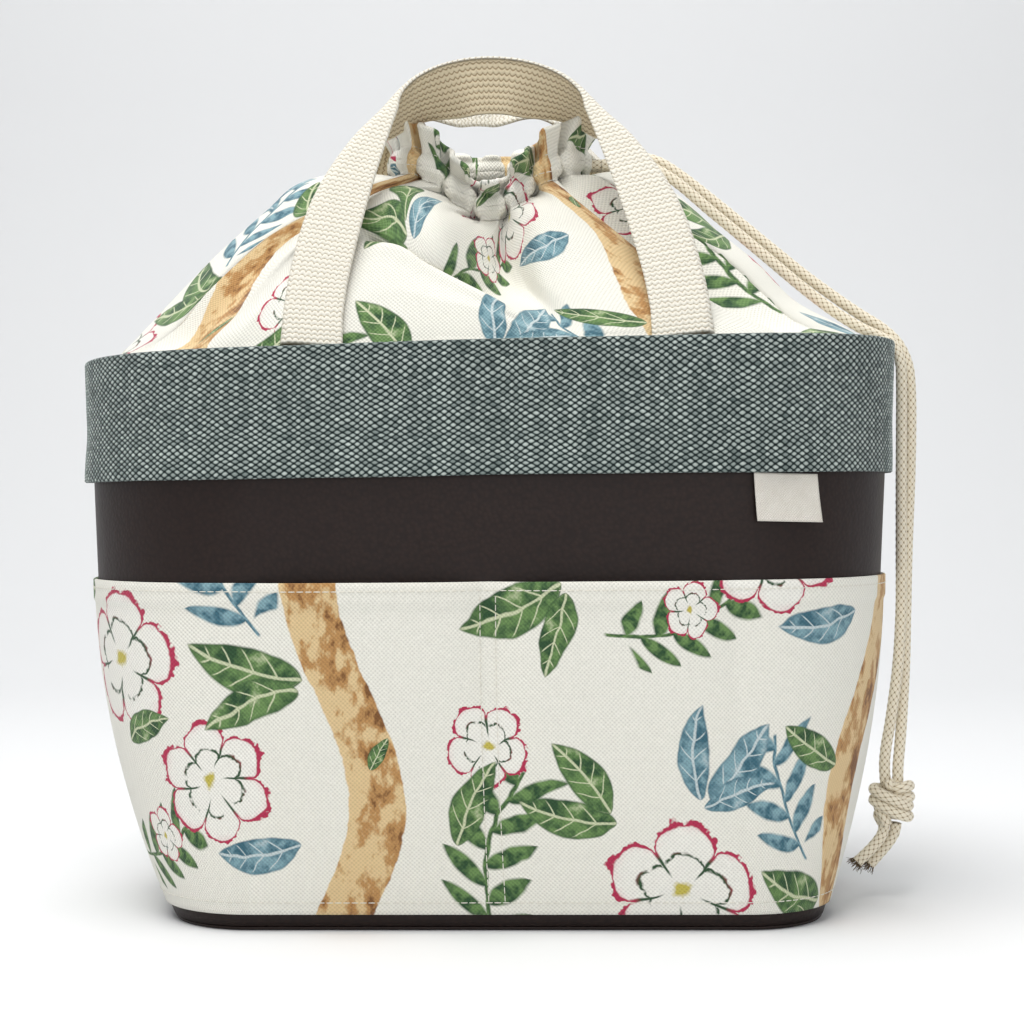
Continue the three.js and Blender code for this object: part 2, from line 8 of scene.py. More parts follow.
import bpy
import numpy as np
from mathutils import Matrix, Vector


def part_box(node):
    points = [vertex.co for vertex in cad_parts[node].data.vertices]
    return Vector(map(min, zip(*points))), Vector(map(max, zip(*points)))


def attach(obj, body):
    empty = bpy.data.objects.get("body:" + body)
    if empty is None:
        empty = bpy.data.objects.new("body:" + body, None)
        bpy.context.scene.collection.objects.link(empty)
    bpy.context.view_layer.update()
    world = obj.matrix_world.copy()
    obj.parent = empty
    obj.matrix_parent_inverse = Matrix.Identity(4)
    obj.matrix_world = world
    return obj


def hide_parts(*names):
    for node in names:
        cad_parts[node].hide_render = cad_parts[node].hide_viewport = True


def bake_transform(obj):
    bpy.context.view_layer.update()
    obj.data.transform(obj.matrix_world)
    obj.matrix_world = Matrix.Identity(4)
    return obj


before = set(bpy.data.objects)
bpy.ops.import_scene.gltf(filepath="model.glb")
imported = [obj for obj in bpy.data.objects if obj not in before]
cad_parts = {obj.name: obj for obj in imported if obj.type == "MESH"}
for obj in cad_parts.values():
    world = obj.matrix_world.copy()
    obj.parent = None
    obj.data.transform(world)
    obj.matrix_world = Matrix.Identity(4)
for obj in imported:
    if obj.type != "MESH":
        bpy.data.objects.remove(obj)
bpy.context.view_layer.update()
MM = 0.001


# Camera: 0.9 m in front of the basket, a little below its rim

PHOTO_PIXELS = 1024
FOCAL_PIXELS = 1950
HORIZON_PIXELS = 12  # the horizon lies this far above the middle of the picture
SENSOR = 36.0  # millimetres, as Blender counts them


def add_camera():
    data = bpy.data.cameras.new("camera")
    data.sensor_width = SENSOR
    data.lens = SENSOR * FOCAL_PIXELS / PHOTO_PIXELS
    data.clip_start = 0.05
    camera = bpy.data.objects.new("camera", data)
    camera.location = (0.010, -0.900, 0.180)
    pitch = math.atan(HORIZON_PIXELS / FOCAL_PIXELS)
    camera.rotation_euler = (math.pi / 2 - pitch, 0, 0)
    bpy.context.scene.collection.objects.link(camera)
    bpy.context.scene.camera = camera


# Colours and node trees


def linear(red, green, blue):
    """A colour given as it shows on a screen, 0 to 255, in the values that a shader takes."""
    shares = [value / 255 for value in (red, green, blue)]
    return (*(s / 12.92 if s <= 0.04045 else ((s + 0.055) / 1.055) ** 2.4 for s in shares), 1.0)


def operator(operation, swapped=False):
    """A method that makes a Math node of a number and what it is taken with."""

    def apply(number, *others):
        values = (*others, number) if swapped else (number, *others)
        return number.graph.math(operation, *values)

    return apply


class Number:
    """A socket of a node tree; sums, products and the like of it become Math nodes."""

    def __init__(self, graph, socket):
        self.graph = graph
        self.socket = socket

    __add__ = __radd__ = operator("ADD")
    __mul__ = __rmul__ = operator("MULTIPLY")
    __sub__ = operator("SUBTRACT")
    __rsub__ = operator("SUBTRACT", swapped=True)
    __truediv__ = operator("DIVIDE")
    __mod__ = operator("FLOORED_MODULO")
    __pow__ = operator("POWER")
    __gt__ = operator("GREATER_THAN")
    __abs__ = operator("ABSOLUTE")
    most = operator("MAXIMUM")
    floor = operator("FLOOR")
    fract = operator("FRACT")
    sine = operator("SINE")
    cosine = operator("COSINE")
    root = operator("SQRT")

    def beside(self, output):
        """Another output of the same node."""
        return Number(self.graph, self.socket.node.outputs[output])


class Graph:
    """A node tree with a short call for each kind of node."""

    def __init__(self, tree):
        self.tree = tree

    def put(self, socket, value):
        if isinstance(value, Number):
            self.tree.links.new(value.socket, socket)
        else:
            socket.default_value = value

    def node(self, kind, inputs, output=0, **settings):
        """An output of a new node, from the values of its inputs by number or name."""
        made = self.tree.nodes.new(f"ShaderNode{kind}")
        for name, value in settings.items():
            setattr(made, name, value)
        for key, value in inputs.items():
            self.put(made.inputs[key], value)
        return Number(self, made.outputs[output])

    def math(self, operation, *values):
        return self.node("Math", dict(enumerate(values)), operation=operation)

    def mix(self, share, first, second):
        return self.node("Mix", {0: share, 6: first, 7: second}, 2, data_type="RGBA")

    def join(self, x, y):
        return self.node("CombineXYZ", {0: x, 1: y})

    def split(self, vector):
        x = self.node("SeparateXYZ", {0: vector})
        return x, x.beside(1)

    def noise(self, vector, scale, detail=2.0, roughness=0.5):
        values = {"Vector": vector, "Scale": scale, "Detail": detail, "Roughness": roughness}
        return self.node("TexNoise", values, "Fac")

    def random(self, x, y):
        """A number from 0 to 1 that is the same all over one cell."""
        values = {"Vector": self.join(x, y)}
        return self.node("TexWhiteNoise", values, "Value", noise_dimensions="2D")

    def step(self, value, low, high):
        """0 below low, 1 above high, straight in between."""
        return self.node("MapRange", {0: value, 1: low, 2: high})

    def cloth(self):
        """Where a point lies on its cloth, along and across, in metres."""
        return self.split(self.node("UVMap", {}, uv_map="cloth"))

    def place(self):
        return self.node("TexCoord", {}, "Object")

    def bump(self, height, distance, strength, **more):
        values = {"Height": height, "Distance": distance, "Strength": strength, **more}
        return self.node("Bump", values)


class Material(Graph):
    """A material's node tree; what is the same all over is set on its shader's sockets."""

    def __init__(self, name, roughness, specular, sheen=0.0):
        self.material = bpy.data.materials.new(name)
        self.material.use_nodes = True
        super().__init__(self.material.node_tree)
        self.sockets = self.tree.nodes["Principled BSDF"].inputs
        self.sockets["Roughness"].default_value = roughness
        self.sockets["Specular IOR Level"].default_value = specular
        self.sockets["Sheen Weight"].default_value = sheen
        self.sockets["Sheen Roughness"].default_value = 0.6

    def finish(self, colour, normal=None):
        """The material, with the colour and the bumps that vary over its surface."""
        self.put(self.sockets["Base Color"], colour)
        if normal is not None:
            self.put(self.sockets["Normal"], normal)
        return self.material


# The botanical print: leaves, sprigs, blossoms and a bough in a repeat of its own


class Motif(Graph):
    """A node group with a vector Place, a colour Base, the named inputs and an output Colour."""

    def __init__(self, name, numbers="", colours=""):
        super().__init__(bpy.data.node_groups.new(name, "ShaderNodeTree"))
        kinds = {"Place": "Vector", "Base": "Color"}
        kinds.update(dict.fromkeys(numbers.split(), "Float"))
        kinds.update(dict.fromkeys(colours.split(), "Color"))
        face = self.tree.interface
        for label, kind in kinds.items():
            face.new_socket(label, in_out="INPUT", socket_type=f"NodeSocket{kind}")
        face.new_socket("Colour", in_out="OUTPUT", socket_type="NodeSocketColor")
        sockets = self.tree.nodes.new("NodeGroupInput").outputs
        self.given = {label: Number(self, sockets[label]) for label in kinds}

    def finish(self, colour):
        result = self.tree.nodes.new("NodeGroupOutput")
        self.put(result.inputs["Colour"], colour)
        return self

    def stamp(self, graph, place, base, values):
        """The colour of this motif over a base colour; it takes from values what it knows."""
        wanted = {"Place": place, "Base": base, **values}
        known = {label: value for label, value in wanted.items() if label in self.given}
        return graph.node("Group", known, "Colour", node_tree=self.tree)


INK_EDGE = 0.02  # the soft edge of a printed shape, as a share of its length


def bent_away(along, across, bend):
    """The way across from the middle line of a motif that bends."""
    return across - along * (1.0 - along) * bend


def leaf_shape(along, across, width):
    """How far inside a pointed leaf a point lies; the leaf runs from 0 to 1 along."""
    near = along.most(0.0) ** 0.65
    far = (1.0 - along).most(0.0) ** 0.85
    return near * far * width - abs(across)


def make_leaf():
    graph = Motif("print_leaf", "Width Bend", "Dark Light Vein")
    given = graph.given
    along, across = graph.split(given["Place"])
    bent = bent_away(along, across, given["Bend"])
    inside = leaf_shape(along, bent, given["Width"])
    away = abs(bent)
    wash = graph.noise(given["Place"], 3.6, 4.0, 0.65)
    light = graph.step(wash + (bent > 0.0) * 0.1, 0.44, 0.62)
    body = graph.mix(light, given["Dark"], given["Light"])
    body = graph.mix(graph.step(wash, 0.6, 0.72) * 0.6, body, given["Vein"])
    slanted = along - away * (0.8 + away * 1.6)
    side = abs((slanted * 5.0).fract() - 0.5)
    side_vein = graph.step(side, 0.43, 0.48) * graph.step(inside, 0.02, 0.06)
    mid_vein = graph.step(away, 0.02, 0.008)
    veined = graph.mix(side_vein.most(mid_vein), body, given["Vein"])
    rimmed = graph.mix(graph.step(inside, 0.045, 0.01) * 0.6, veined, given["Dark"])
    return graph.finish(graph.mix(graph.step(inside, 0.0, INK_EDGE), given["Base"], rimmed))


SPRIG_TILT = math.radians(52)
SPRIG_REACH = 1.65  # the length of its leaves, in gaps from one pair to the next


def make_sprig():
    graph = Motif("print_sprig", "Pairs Bend", "Dark Light")
    given = graph.given
    along, across = graph.split(given["Place"])
    bent = bent_away(along, across, given["Bend"])
    away = abs(bent)
    cell = (along * given["Pairs"] + (bent > 0.0) * 0.5).fract()
    scaled = away * given["Pairs"]
    cosine, sine = math.cos(SPRIG_TILT), math.sin(SPRIG_TILT)
    leaf_along = (cell * cosine + scaled * sine) / SPRIG_REACH
    leaf_across = (scaled * cosine - (cell - 0.06) * sine) / SPRIG_REACH
    leaves = graph.step(leaf_shape(leaf_along, leaf_across, 0.5), 0.0, 0.05)
    leafy = leaves * graph.step(along, 0.12, 0.14)
    stem = graph.step(away, 0.016, 0.008)
    within = graph.step(along, 0.0, 0.02) * graph.step(along, 1.0, 0.98)
    mottle = graph.noise(graph.join(leaf_along, leaf_across), 5.0)
    body = graph.mix(graph.step(mottle, 0.4, 0.62), given["Dark"], given["Light"])
    return graph.finish(graph.mix(leafy.most(stem) * within, given["Base"], body))


def make_blossom():
    graph = Motif("print_blossom", "Petals", "Line Fill Blush Heart")
    given = graph.given
    x, y = graph.split(given["Place"])
    angle = graph.math("ARCTAN2", y, x)
    radius = (x * x + y * y).root()
    wobble = graph.noise(graph.join(x, y), 3.0, 3.0, 0.7)
    petal = abs((angle * (given["Petals"] * 0.5)).cosine())
    reach = 0.62 + petal**0.5 * 0.3 + (wobble - 0.5) * 0.4
    inside = reach - radius
    blush = graph.step(inside, 0.2, 0.0) * graph.step(wobble, 0.45, 0.7)
    body = graph.mix(blush, given["Fill"], given["Blush"])
    gap = graph.step(petal, 0.16, 0.06) * graph.step(radius, 0.2, 0.3)
    thick = graph.step(wobble, 0.3, 0.65) * 0.1
    edge = graph.step(inside, thick + 0.02, thick)
    ring = graph.step(abs(reach * 0.55 - radius), 0.035, 0.012) * graph.step(wobble, 0.42, 0.5)
    ink = graph.mix(graph.step(radius, 0.5, 0.6), LEAF_DARK, given["Line"])
    lined = graph.mix(edge.most(gap).most(ring), body, ink)
    heart = graph.step(radius + wobble * 0.35, 0.3, 0.24)
    finished = graph.mix(heart, lined, given["Heart"])
    return graph.finish(graph.mix(graph.step(inside, 0.0, INK_EDGE), given["Base"], finished))


CREAM = linear(240, 238, 228)
LEAF_DARK = linear(44, 78, 48)
BARK_DARK, BARK, BARK_LIGHT = linear(128, 86, 48), linear(188, 142, 88), linear(226, 198, 150)
INKS = {
    "green": {"Dark": LEAF_DARK, "Light": linear(108, 142, 84), "Vein": linear(206, 212, 176)},
    "teal": {
        "Dark": linear(60, 104, 120), "Light": linear(132, 168, 178), "Vein": linear(200, 212, 214),
    },
    "pink": {
        "Line": linear(182, 48, 82), "Fill": linear(244, 242, 234),
        "Blush": linear(228, 168, 176), "Heart": linear(198, 184, 84),
    },
}

# The repeat of the print, and the motifs in it: place in the repeat, turn in degrees, length, the
# motif's own numbers and its inks.
REPEAT_WIDTH = 0.236
REPEAT_HEIGHT = 0.192
LEAVES = [
    ((0.062, 0.044), 203, 0.048, 0.60, 0.25, "green"),
    ((0.060, 0.046), 152, 0.044, 0.56, -0.3, "green"),
    ((0.064, 0.040), 254, 0.036, 0.60, 0.2, "green"),
    ((0.066, 0.046), 96, 0.040, 0.55, -0.25, "teal"),
    ((0.082, 0.136), 166, 0.042, 0.58, 0.3, "green"),
    ((0.080, 0.140), 128, 0.038, 0.62, -0.2, "green"),
    ((0.116, 0.146), 84, 0.040, 0.50, 0.3, "teal"),
    ((0.120, 0.146), 50, 0.042, 0.55, -0.3, "teal"),
    ((0.118, 0.142), 18, 0.034, 0.50, 0.2, "teal"),
    ((0.190, 0.100), 163, 0.050, 0.60, 0.3, "green"),
    ((0.188, 0.096), 204, 0.044, 0.52, -0.3, "green"),
    ((0.184, 0.158), 148, 0.036, 0.58, 0.2, "green"),
    ((0.190, 0.030), 186, 0.040, 0.55, 0.3, "teal"),
    ((0.104, 0.072), 20, 0.030, 0.60, 0.3, "green"),
    ((0.016, 0.126), 64, 0.040, 0.58, 0.2, "green"),
    ((0.218, 0.062), 66, 0.016, 0.60, 0.2, "green"),
]
SPRIGS = [
    ((0.030, 0.084), 78, 0.076, 5.0, 0.5, "green"),
    ((0.080, 0.022), 20, 0.064, 5.0, -0.5, "green"),
    ((0.172, 0.118), 112, 0.060, 4.0, 0.4, "teal"),
]
BLOSSOMS = [
    ((0.106, 0.106), 12, 0.034, 5.0, "pink"),
    ((0.150, 0.056), 40, 0.029, 6.0, "pink"),
    ((0.030, 0.168), -20, 0.020, 5.0, "pink"),
    ((0.116, 0.032), 75, 0.013, 5.0, "pink"),
]
BOUGH_PLACE = 0.206
BOUGH_WIDTH = 0.0095
BOUGH_SWAY = 0.014


def print_bough(graph, along, across, base):
    sway = (across * (2 * math.pi / REPEAT_HEIGHT)).sine() * BOUGH_SWAY
    off = along - BOUGH_PLACE - sway
    rough = graph.noise(graph.join(along, across), 60.0, 3.0, 0.65)
    inside = rough * (BOUGH_WIDTH / 2) + BOUGH_WIDTH - abs(off)
    knots = graph.noise(graph.join(along * 1.8, across), 62.0, 4.0, 0.6)
    knots = knots - off / BOUGH_WIDTH * 0.05
    bark = graph.mix(graph.step(knots, 0.36, 0.42), BARK_DARK, BARK)
    bark = graph.mix(graph.step(knots, 0.46, 0.54), bark, BARK_LIGHT)
    return graph.mix(graph.step(inside, 0.0, 0.6 * MM), base, bark)


def make_print():
    """The printed colour of the canvas at a place on the cloth."""
    graph = Motif("print_canvas")
    along, across = graph.split(graph.given["Place"])
    lift = (along / REPEAT_WIDTH).floor() * (REPEAT_HEIGHT / 2)
    x, y = along % REPEAT_WIDTH, (across + lift) % REPEAT_HEIGHT
    nudge = (graph.noise(graph.given["Place"], 55.0) - 0.5) * (5.0 * MM)
    place = graph.join(x + nudge, y - nudge)
    colour = print_bough(graph, x, y, graph.given["Base"])
    for motif, numbers, rows in (
        (make_sprig(), ("Pairs", "Bend"), SPRIGS),
        (make_blossom(), ("Petals",), BLOSSOMS),
        (make_leaf(), ("Width", "Bend"), LEAVES),
    ):
        for at, turn, size, *values, ink in rows:
            moved = {
                "Vector": place, "Location": (*at, 0), "Rotation": (0, 0, math.radians(turn)),
                "Scale": (size, size, 1),
            }
            local = graph.node("Mapping", moved, vector_type="TEXTURE")
            colour = motif.stamp(graph, local, colour, INKS[ink] | dict(zip(numbers, values)))
    return graph.finish(colour)


# Materials

CANVAS_YARN = 0.9 * MM  # from one yarn to the next


def weave(along, across, pitch):
    """A plain weave: 1 at the middle of the upper yarns, -1 in the pits between them."""
    return (along * (math.pi / pitch)).sine() * (across * (math.pi / pitch)).sine()


def canvas_material(printed, name="canvas", shift=(0.0, 0.0)):
    graph = Material(name, 0.85, 0.2, 0.15)
    along, across = (way + moved for way, moved in zip(graph.cloth(), shift))
    height = weave(along, across, CANVAS_YARN)
    colour = printed.stamp(graph, graph.join(along, across), CREAM, {})
    slub = graph.noise(graph.join(along * 6.0, across), 260.0)
    shade = 0.78 + graph.step(height, -0.9, 0.3) * 0.2 + slub * 0.08
    toned = graph.node("VectorMath", {0: colour, "Scale": shade}, operation="SCALE")
    return graph.finish(toned, graph.bump(height, 0.16 * MM, 0.8))


def plain_cloth_material(name, light, dark, yarn):
    """Undyed cloth: a fine plain weave with a little unevenness, its pits painted darker as shade.
    """
    graph = Material(name, 0.9, 0.2, 0.1)
    along, across = graph.cloth()
    height = weave(along, across, yarn)
    slub = graph.noise(graph.join(along, across), 180.0, 3.0)
    # half painted shade in the pits of the weave, half random unevenness of the yarn
    share = graph.step(height, -1.0, 0.6) * 0.5 + slub * 0.5
    colour = graph.mix(share, linear(*dark), linear(*light))
    return graph.finish(colour, graph.bump(height, yarn / 4, 0.7))


TWEED_ALONG = 1.98 * MM
TWEED_ACROSS = 1.28 * MM


def tweed_material():
    """Plump yarns in rows offset by half, each with a tone of its own, with painted highlights on
    the beads' tops, painted shade on their sides and near-black painted shade in the pits between
    them.
    """
    graph = Material("tweed", 0.9, 0.15, 0.1)
    along, across = graph.cloth()
    a, b = along / (2 * TWEED_ALONG), across / (2 * TWEED_ACROSS)
    up, down = a + b, a - b
    height = abs((up * math.pi).sine() * (down * math.pi).sine())
    first, second = up.floor(), down.floor()
    bead = graph.random(first, second)
    warp = graph.random(first + second, 3.0)
    weft = graph.random(7.0, first - second)
    patch = graph.noise(graph.join(along, across), 45.0)
    tone = bead * 0.5 + warp * 0.2 + weft * 0.14 + patch * 0.3
    # painted highlight on each bead's top, and a painted shaded copy of the same tone for its sides
    light = graph.mix(tone, linear(82, 98, 96), linear(224, 232, 227))
    side = graph.mix(tone, linear(56, 72, 71), linear(140, 156, 151))
    yarn = graph.mix(graph.step(height, 0.3, 0.85), side, light)
    fibre = graph.noise(graph.join(along, across * 2.0), 1100.0, 3.0, 0.7)
    yarn = graph.mix(fibre * 0.3, yarn, linear(54, 70, 68))
    # painted shade: the pits between the beads are near black
    colour = graph.mix(graph.step(height, 0.12, 0.45), linear(22, 32, 33), yarn)
    return graph.finish(colour, graph.bump(height * 0.8 + fibre, 0.3 * MM, 0.7))


def leather_material():
    graph = Material("faux_leather", 0.46, 0.22)
    place = graph.place()
    values = {"Vector": place, "Scale": 560.0, "Smoothness": 0.6}
    cells = graph.node("TexVoronoi", values, "Distance", feature="SMOOTH_F1")
    grain = graph.step(cells, 0.75, 0.15)
    broad = graph.noise(place, 24.0, 3.0)
    fine = graph.noise(place, 1000.0)
    tone = graph.mix(broad, linear(36, 24, 20), linear(52, 37, 31))
    tone = graph.mix(grain * 0.5, linear(30, 20, 18), tone)
    soft = graph.bump(broad, 3.0 * MM, 0.3)
    return graph.finish(tone, graph.bump(grain + fine * 0.5, 0.12 * MM, 0.5, Normal=soft))


WEBBING_ALONG = 2.3 * MM  # from one row of yarns to the next
WEBBING_ACROSS = 2.6 * MM


def scalloped_rows(row, cell):
    """Rows of plump yarns: 0 at the lines between rows and 1 on the yarns, and the same beside."""
    row = row - abs((cell * math.pi).sine()) * 0.4
    beside = (cell + row.floor() * 0.5) * math.pi
    return abs((row * math.pi).sine()), abs(beside.sine())


def webbing_material():
    """Heavy cotton webbing; its inner face shows the weave turned a quarter and is painted browner
    as the warm shade under the crown's roll, and the lines between its rows of yarn are painted
    shade.
    """
    graph = Material("webbing", 0.85, 0.2, 0.15)
    along, across = graph.cloth()
    along = along + graph.noise(graph.join(along, across), 220.0) * (1.4 * MM)
    row, cell = along / WEBBING_ALONG, across / WEBBING_ACROSS
    slub = graph.noise(graph.join(along, across), 600.0)
    ridge, split = scalloped_rows(row, cell)
    yarn = graph.mix(slub, linear(219, 214, 199), linear(242, 238, 228))
    # painted shade: darker lines between the rows of yarn and in the pits where the yarns part
    outer = graph.mix(graph.step(ridge, 0.0, 0.4), linear(202, 190, 164), yarn)
    outer = graph.mix(graph.step(ridge.most(split), 0.15, 0.5), linear(160, 140, 106), outer)
    rib, _ = scalloped_rows(cell, row)
    # painted shade: the inner face's browner tan and the darker lines between its ribs stand for
    # the warm shade under the crown's roll
    inner = graph.mix(graph.step(rib, 0.05, 0.6), linear(150, 128, 94), linear(218, 203, 173))
    inside = graph.step(across, 0.4, 0.6)
    height = ridge * (0.5 + split * 0.5)
    relief = height + inside * (rib - height) + slub * 0.3
    return graph.finish(graph.mix(inside, outer, inner), graph.bump(relief, 0.4 * MM, 0.9))


BRAID_PITCH = 3.3 * MM  # along the cord, from one crossing of the braid to the next
BRAID_STRANDS = 6


def cord_material():
    """Braided cord; the cloth map runs along it, and from 0 to 1 round it."""
    graph = Material("braided_cord", 0.85, 0.2, 0.2)
    along, around = graph.cloth()
    turn, run = around * (math.pi * BRAID_STRANDS), along * (math.pi / BRAID_PITCH)
    one, two = abs((run + turn).sine()), abs((run - turn).sine())
    fibre = graph.noise(graph.place(), 1800.0, 2.0, 0.7)
    cream = graph.mix(fibre, linear(226, 214, 190), linear(250, 244, 228))
    # painted shade: a darker tan near the edges of the strands and dark brown in the pits between
    # them
    yarn = graph.mix(graph.step(one * two, 0.0, 0.35), linear(206, 188, 154), cream)
    colour = graph.mix(graph.step(one.most(two), 0.22, 0.5), linear(92, 72, 44), yarn)
    return graph.finish(colour, graph.bump(fibre, 0.15 * MM, 0.6))


def thread_material():
    graph = Material("cream_thread", 0.7, 0.3, 0.1)
    colour = linear(240, 236, 224)
    dark = tuple(0.7 * channel for channel in colour[:3]) + (1.0,)
    return graph.finish(graph.mix(graph.noise(graph.place(), 1500.0, 1.0), dark, colour))


def board_material():
    graph = Material("fibre_board", 0.95, 0.1)
    fibres = graph.noise(graph.place(), 300.0, 4.0, 0.7)
    colour = graph.mix(fibres, linear(118, 108, 94), linear(150, 140, 124))
    return graph.finish(colour, graph.bump(fibres, 0.3 * MM, 0.5))


# Meshes from grids of points


def add_piece(name, mesh, material, nodes=(), body="basket"):
    """Shows a mesh in place of the given CAD nodes, on one of the basket's bodies."""
    made = bpy.data.objects.new(name, mesh)
    bpy.context.scene.collection.objects.link(made)
    mesh.materials.append(material)
    if nodes:
        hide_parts(*nodes)
    if body:
        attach(made, body)
    return made


def smooth_faces(mesh):
    mesh.polygons.foreach_set("use_smooth", np.ones(len(mesh.polygons), bool))


def grid(*parts):
    """Numbers side by side in a new last axis, each spread over the whole grid."""
    return np.stack(np.broadcast_arrays(*parts), axis=-1)


def grid_mesh(name, points, cloth):
    """A closed tube of a mesh from a grid of points (rows, columns, 3), with a lid at both ends.

    cloth gives each point's place on the cloth; it has one more column than points.
    """
    rows, columns = points.shape[:2]
    row, column = np.meshgrid(np.arange(rows - 1), np.arange(columns), indexing="ij")
    corners = [(row, column), (row + 1, column), (row + 1, column + 1), (row, column + 1)]
    faces = np.stack([r * columns + c % columns for r, c in corners], axis=-1).reshape(-1, 4)
    uv = np.stack([cloth[r, c] for r, c in corners], axis=-2).reshape(-1, 2)
    lids = [np.arange(columns), (rows - 1) * columns + np.arange(columns)[::-1]]
    loops = np.concatenate([faces.ravel(), *lids])
    starts = np.append(np.arange(len(faces) + 1) * 4, len(faces) * 4 + columns)
    uv = np.concatenate([uv, cloth[0, :columns], cloth[-1, :columns][::-1]])
    mesh = bpy.data.meshes.new(name)
    mesh.vertices.add(rows * columns)
    mesh.vertices.foreach_set("co", points.reshape(-1).astype(np.float32))
    mesh.loops.add(len(loops))
    mesh.loops.foreach_set("vertex_index", loops.astype(np.int32))
    mesh.polygons.add(len(starts))
    mesh.polygons.foreach_set("loop_start", starts.astype(np.int32))
    mesh.update(calc_edges=True)
    mesh.validate()
    layer = mesh.uv_layers.new(name="cloth")
    layer.data.foreach_set("uv", uv.astype(np.float32).ravel())
    smooth_faces(mesh)
    face_out(mesh)
    return mesh


def face_out(mesh):
    """Turns the faces round if the closed mesh is inside out."""
    count = len(mesh.vertices)
    points = np.zeros(count * 3, np.float32)
    mesh.vertices.foreach_get("co", points)
    points = points.reshape(-1, 3).astype(float)
    mesh.calc_loop_triangles()
    triangles = np.zeros(len(mesh.loop_triangles) * 3, np.int32)
    mesh.loop_triangles.foreach_get("vertices", triangles)
    a, b, c = (points[triangles.reshape(-1, 3)[:, i]] for i in range(3))
    if np.einsum("ij,ij->i", a, np.cross(b, c)).sum() < 0:
        mesh.flip_normals()


def lengths_along(points):
    """How far each point of a polyline is from its start."""
    steps = np.linalg.norm(np.diff(points, axis=0), axis=-1)
    return np.concatenate([[0.0], np.cumsum(steps)])


def spline(values, place):
    """A smooth curve through the rows of values, at fractional row numbers."""
    padded = np.concatenate([2 * values[:1] - values[1:2], values, 2 * values[-1:] - values[-2:-1]])
    row = np.clip(np.floor(place).astype(int), 0, len(values) - 2)
    t = (place - row).reshape(place.shape + (1,) * (values.ndim - 1))
    a, b, c, d = (padded[row + k] for k in range(4))
    return 0.5 * (
        2 * b + (c - a) * t + (2 * a - 5 * b + 4 * c - d) * t**2 + (3 * b - 3 * c + d - a) * t**3
    )


def catmull(points, per_span):
    """A smooth curve through the points, with per_span steps in each span."""
    points = np.asarray(points, float)
    return spline(points, np.arange((len(points) - 1) * per_span + 1) / per_span)


def resample(points, step):
    """The same curve with points about step apart."""
    run = lengths_along(points)
    places = np.linspace(0, run[-1], max(2, int(round(run[-1] / step)) + 1))
    return np.stack([np.interp(places, run, column) for column in points.T], axis=-1)


def unit(vector):
    return vector / np.linalg.norm(vector, axis=-1, keepdims=True)


def frames_along(path, up):
    """Two unit vectors square to the path at each point, turning as little as possible."""
    along = unit(np.gradient(path, axis=0))
    side = unit(np.cross(along[0], up))
    sides = []
    for direction in along:
        side = unit(side - direction * side.dot(direction))
        sides.append(side)
    return np.array(sides), np.cross(along, sides)


def tube_faces(base, rings, sides):
    """The faces of a small closed tube, whose rings of points start at number base."""
    faces = []
    for first in range(base, base + (rings - 1) * sides, sides):
        for k in range(sides):
            a, b = first + k, first + (k + 1) % sides
            faces.append((a, b, b + sides, a + sides))
    faces.append(tuple(base + k for k in reversed(range(sides))))
    top = base + (rings - 1) * sides
    faces.append(tuple(top + k for k in range(sides)))
    return faces


def ring_points(middle, radius, side, other, sides):
    turns = [2 * math.pi * k / sides for k in range(sides)]
    return [middle + radius * (math.cos(turn) * side + math.sin(turn) * other) for turn in turns]


RIPPLE_WAVES = 7


def smoothstep(low, high, value):
    share = np.clip((value - low) / (high - low), 0, 1)
    return share * share * (3 - 2 * share)


def ripple(u, v, seed):
    """Smooth noise from -1 to 1: a sum of a few sine waves in chosen directions."""
    draw = np.random.default_rng(seed)
    total = np.zeros(np.broadcast(u, v).shape)
    for _ in range(RIPPLE_WAVES):
        angle, phase = draw.uniform(0, 2 * math.pi, 2)
        rate = draw.uniform(0.6, 1.8)
        total = total + np.sin(rate * (u * math.cos(angle) + v * math.sin(angle)) + phase)
    return total / RIPPLE_WAVES


# The basket's plan, as in the CAD

RIM_HEIGHT = 0.245
BELLY_HEIGHT = 0.147
BASE = (0.1405, 0.085, 0.036)  # half width, half depth and corner radius of the plan
BELLY = (0.175, 0.098, 0.078)
RIM = (0.1793, 0.0996, 0.083)
SIDE_SHARE = 0.1
CORNER_SHARE = 0.5
SEAM_GAP = 0.15 * MM

FOOT_SHIFT = 4.5 * MM  # the basket stands a little askew: its foot lies to the right
RIM_TILT = 0.0276  # and its rim rises to the right
CASING_FOOT = 0.327


def lerp(a, b, share):
    return a + (b - a) * share


def wall_plan(height):
    low = np.clip(1 - height / BELLY_HEIGHT, 0, 1) ** 2
    high = np.clip((height - BELLY_HEIGHT) / (RIM_HEIGHT - BELLY_HEIGHT), 0, 1)
    return [lerp(lerp(belly, base, low), rim, high) for base, belly, rim in zip(BASE, BELLY, RIM)]


def plan_point(plan, offset, turn):
    """A point of a rounded rectangle; a turn of 1 is a quarter of the way round, from +X to +Y."""
    half_width, half_depth, radius = plan
    quarter = np.minimum(np.floor(turn), 3)
    share = np.where(quarter % 2 == 0, turn - quarter, quarter + 1 - turn)
    angle = np.clip((share - SIDE_SHARE) / CORNER_SHARE, 0, 1) * math.pi / 2
    front = np.clip((1 - share) / (1 - SIDE_SHARE - CORNER_SHARE), 0, 1)
    x = (half_width - radius) * front + (radius + offset) * np.cos(angle)
    back = np.clip(share / SIDE_SHARE, 0, 1)
    y = (half_depth - radius) * back + (radius + offset) * np.sin(angle)
    return np.where((quarter == 1) | (quarter == 2), -x, x), np.where(quarter >= 2, -y, y)


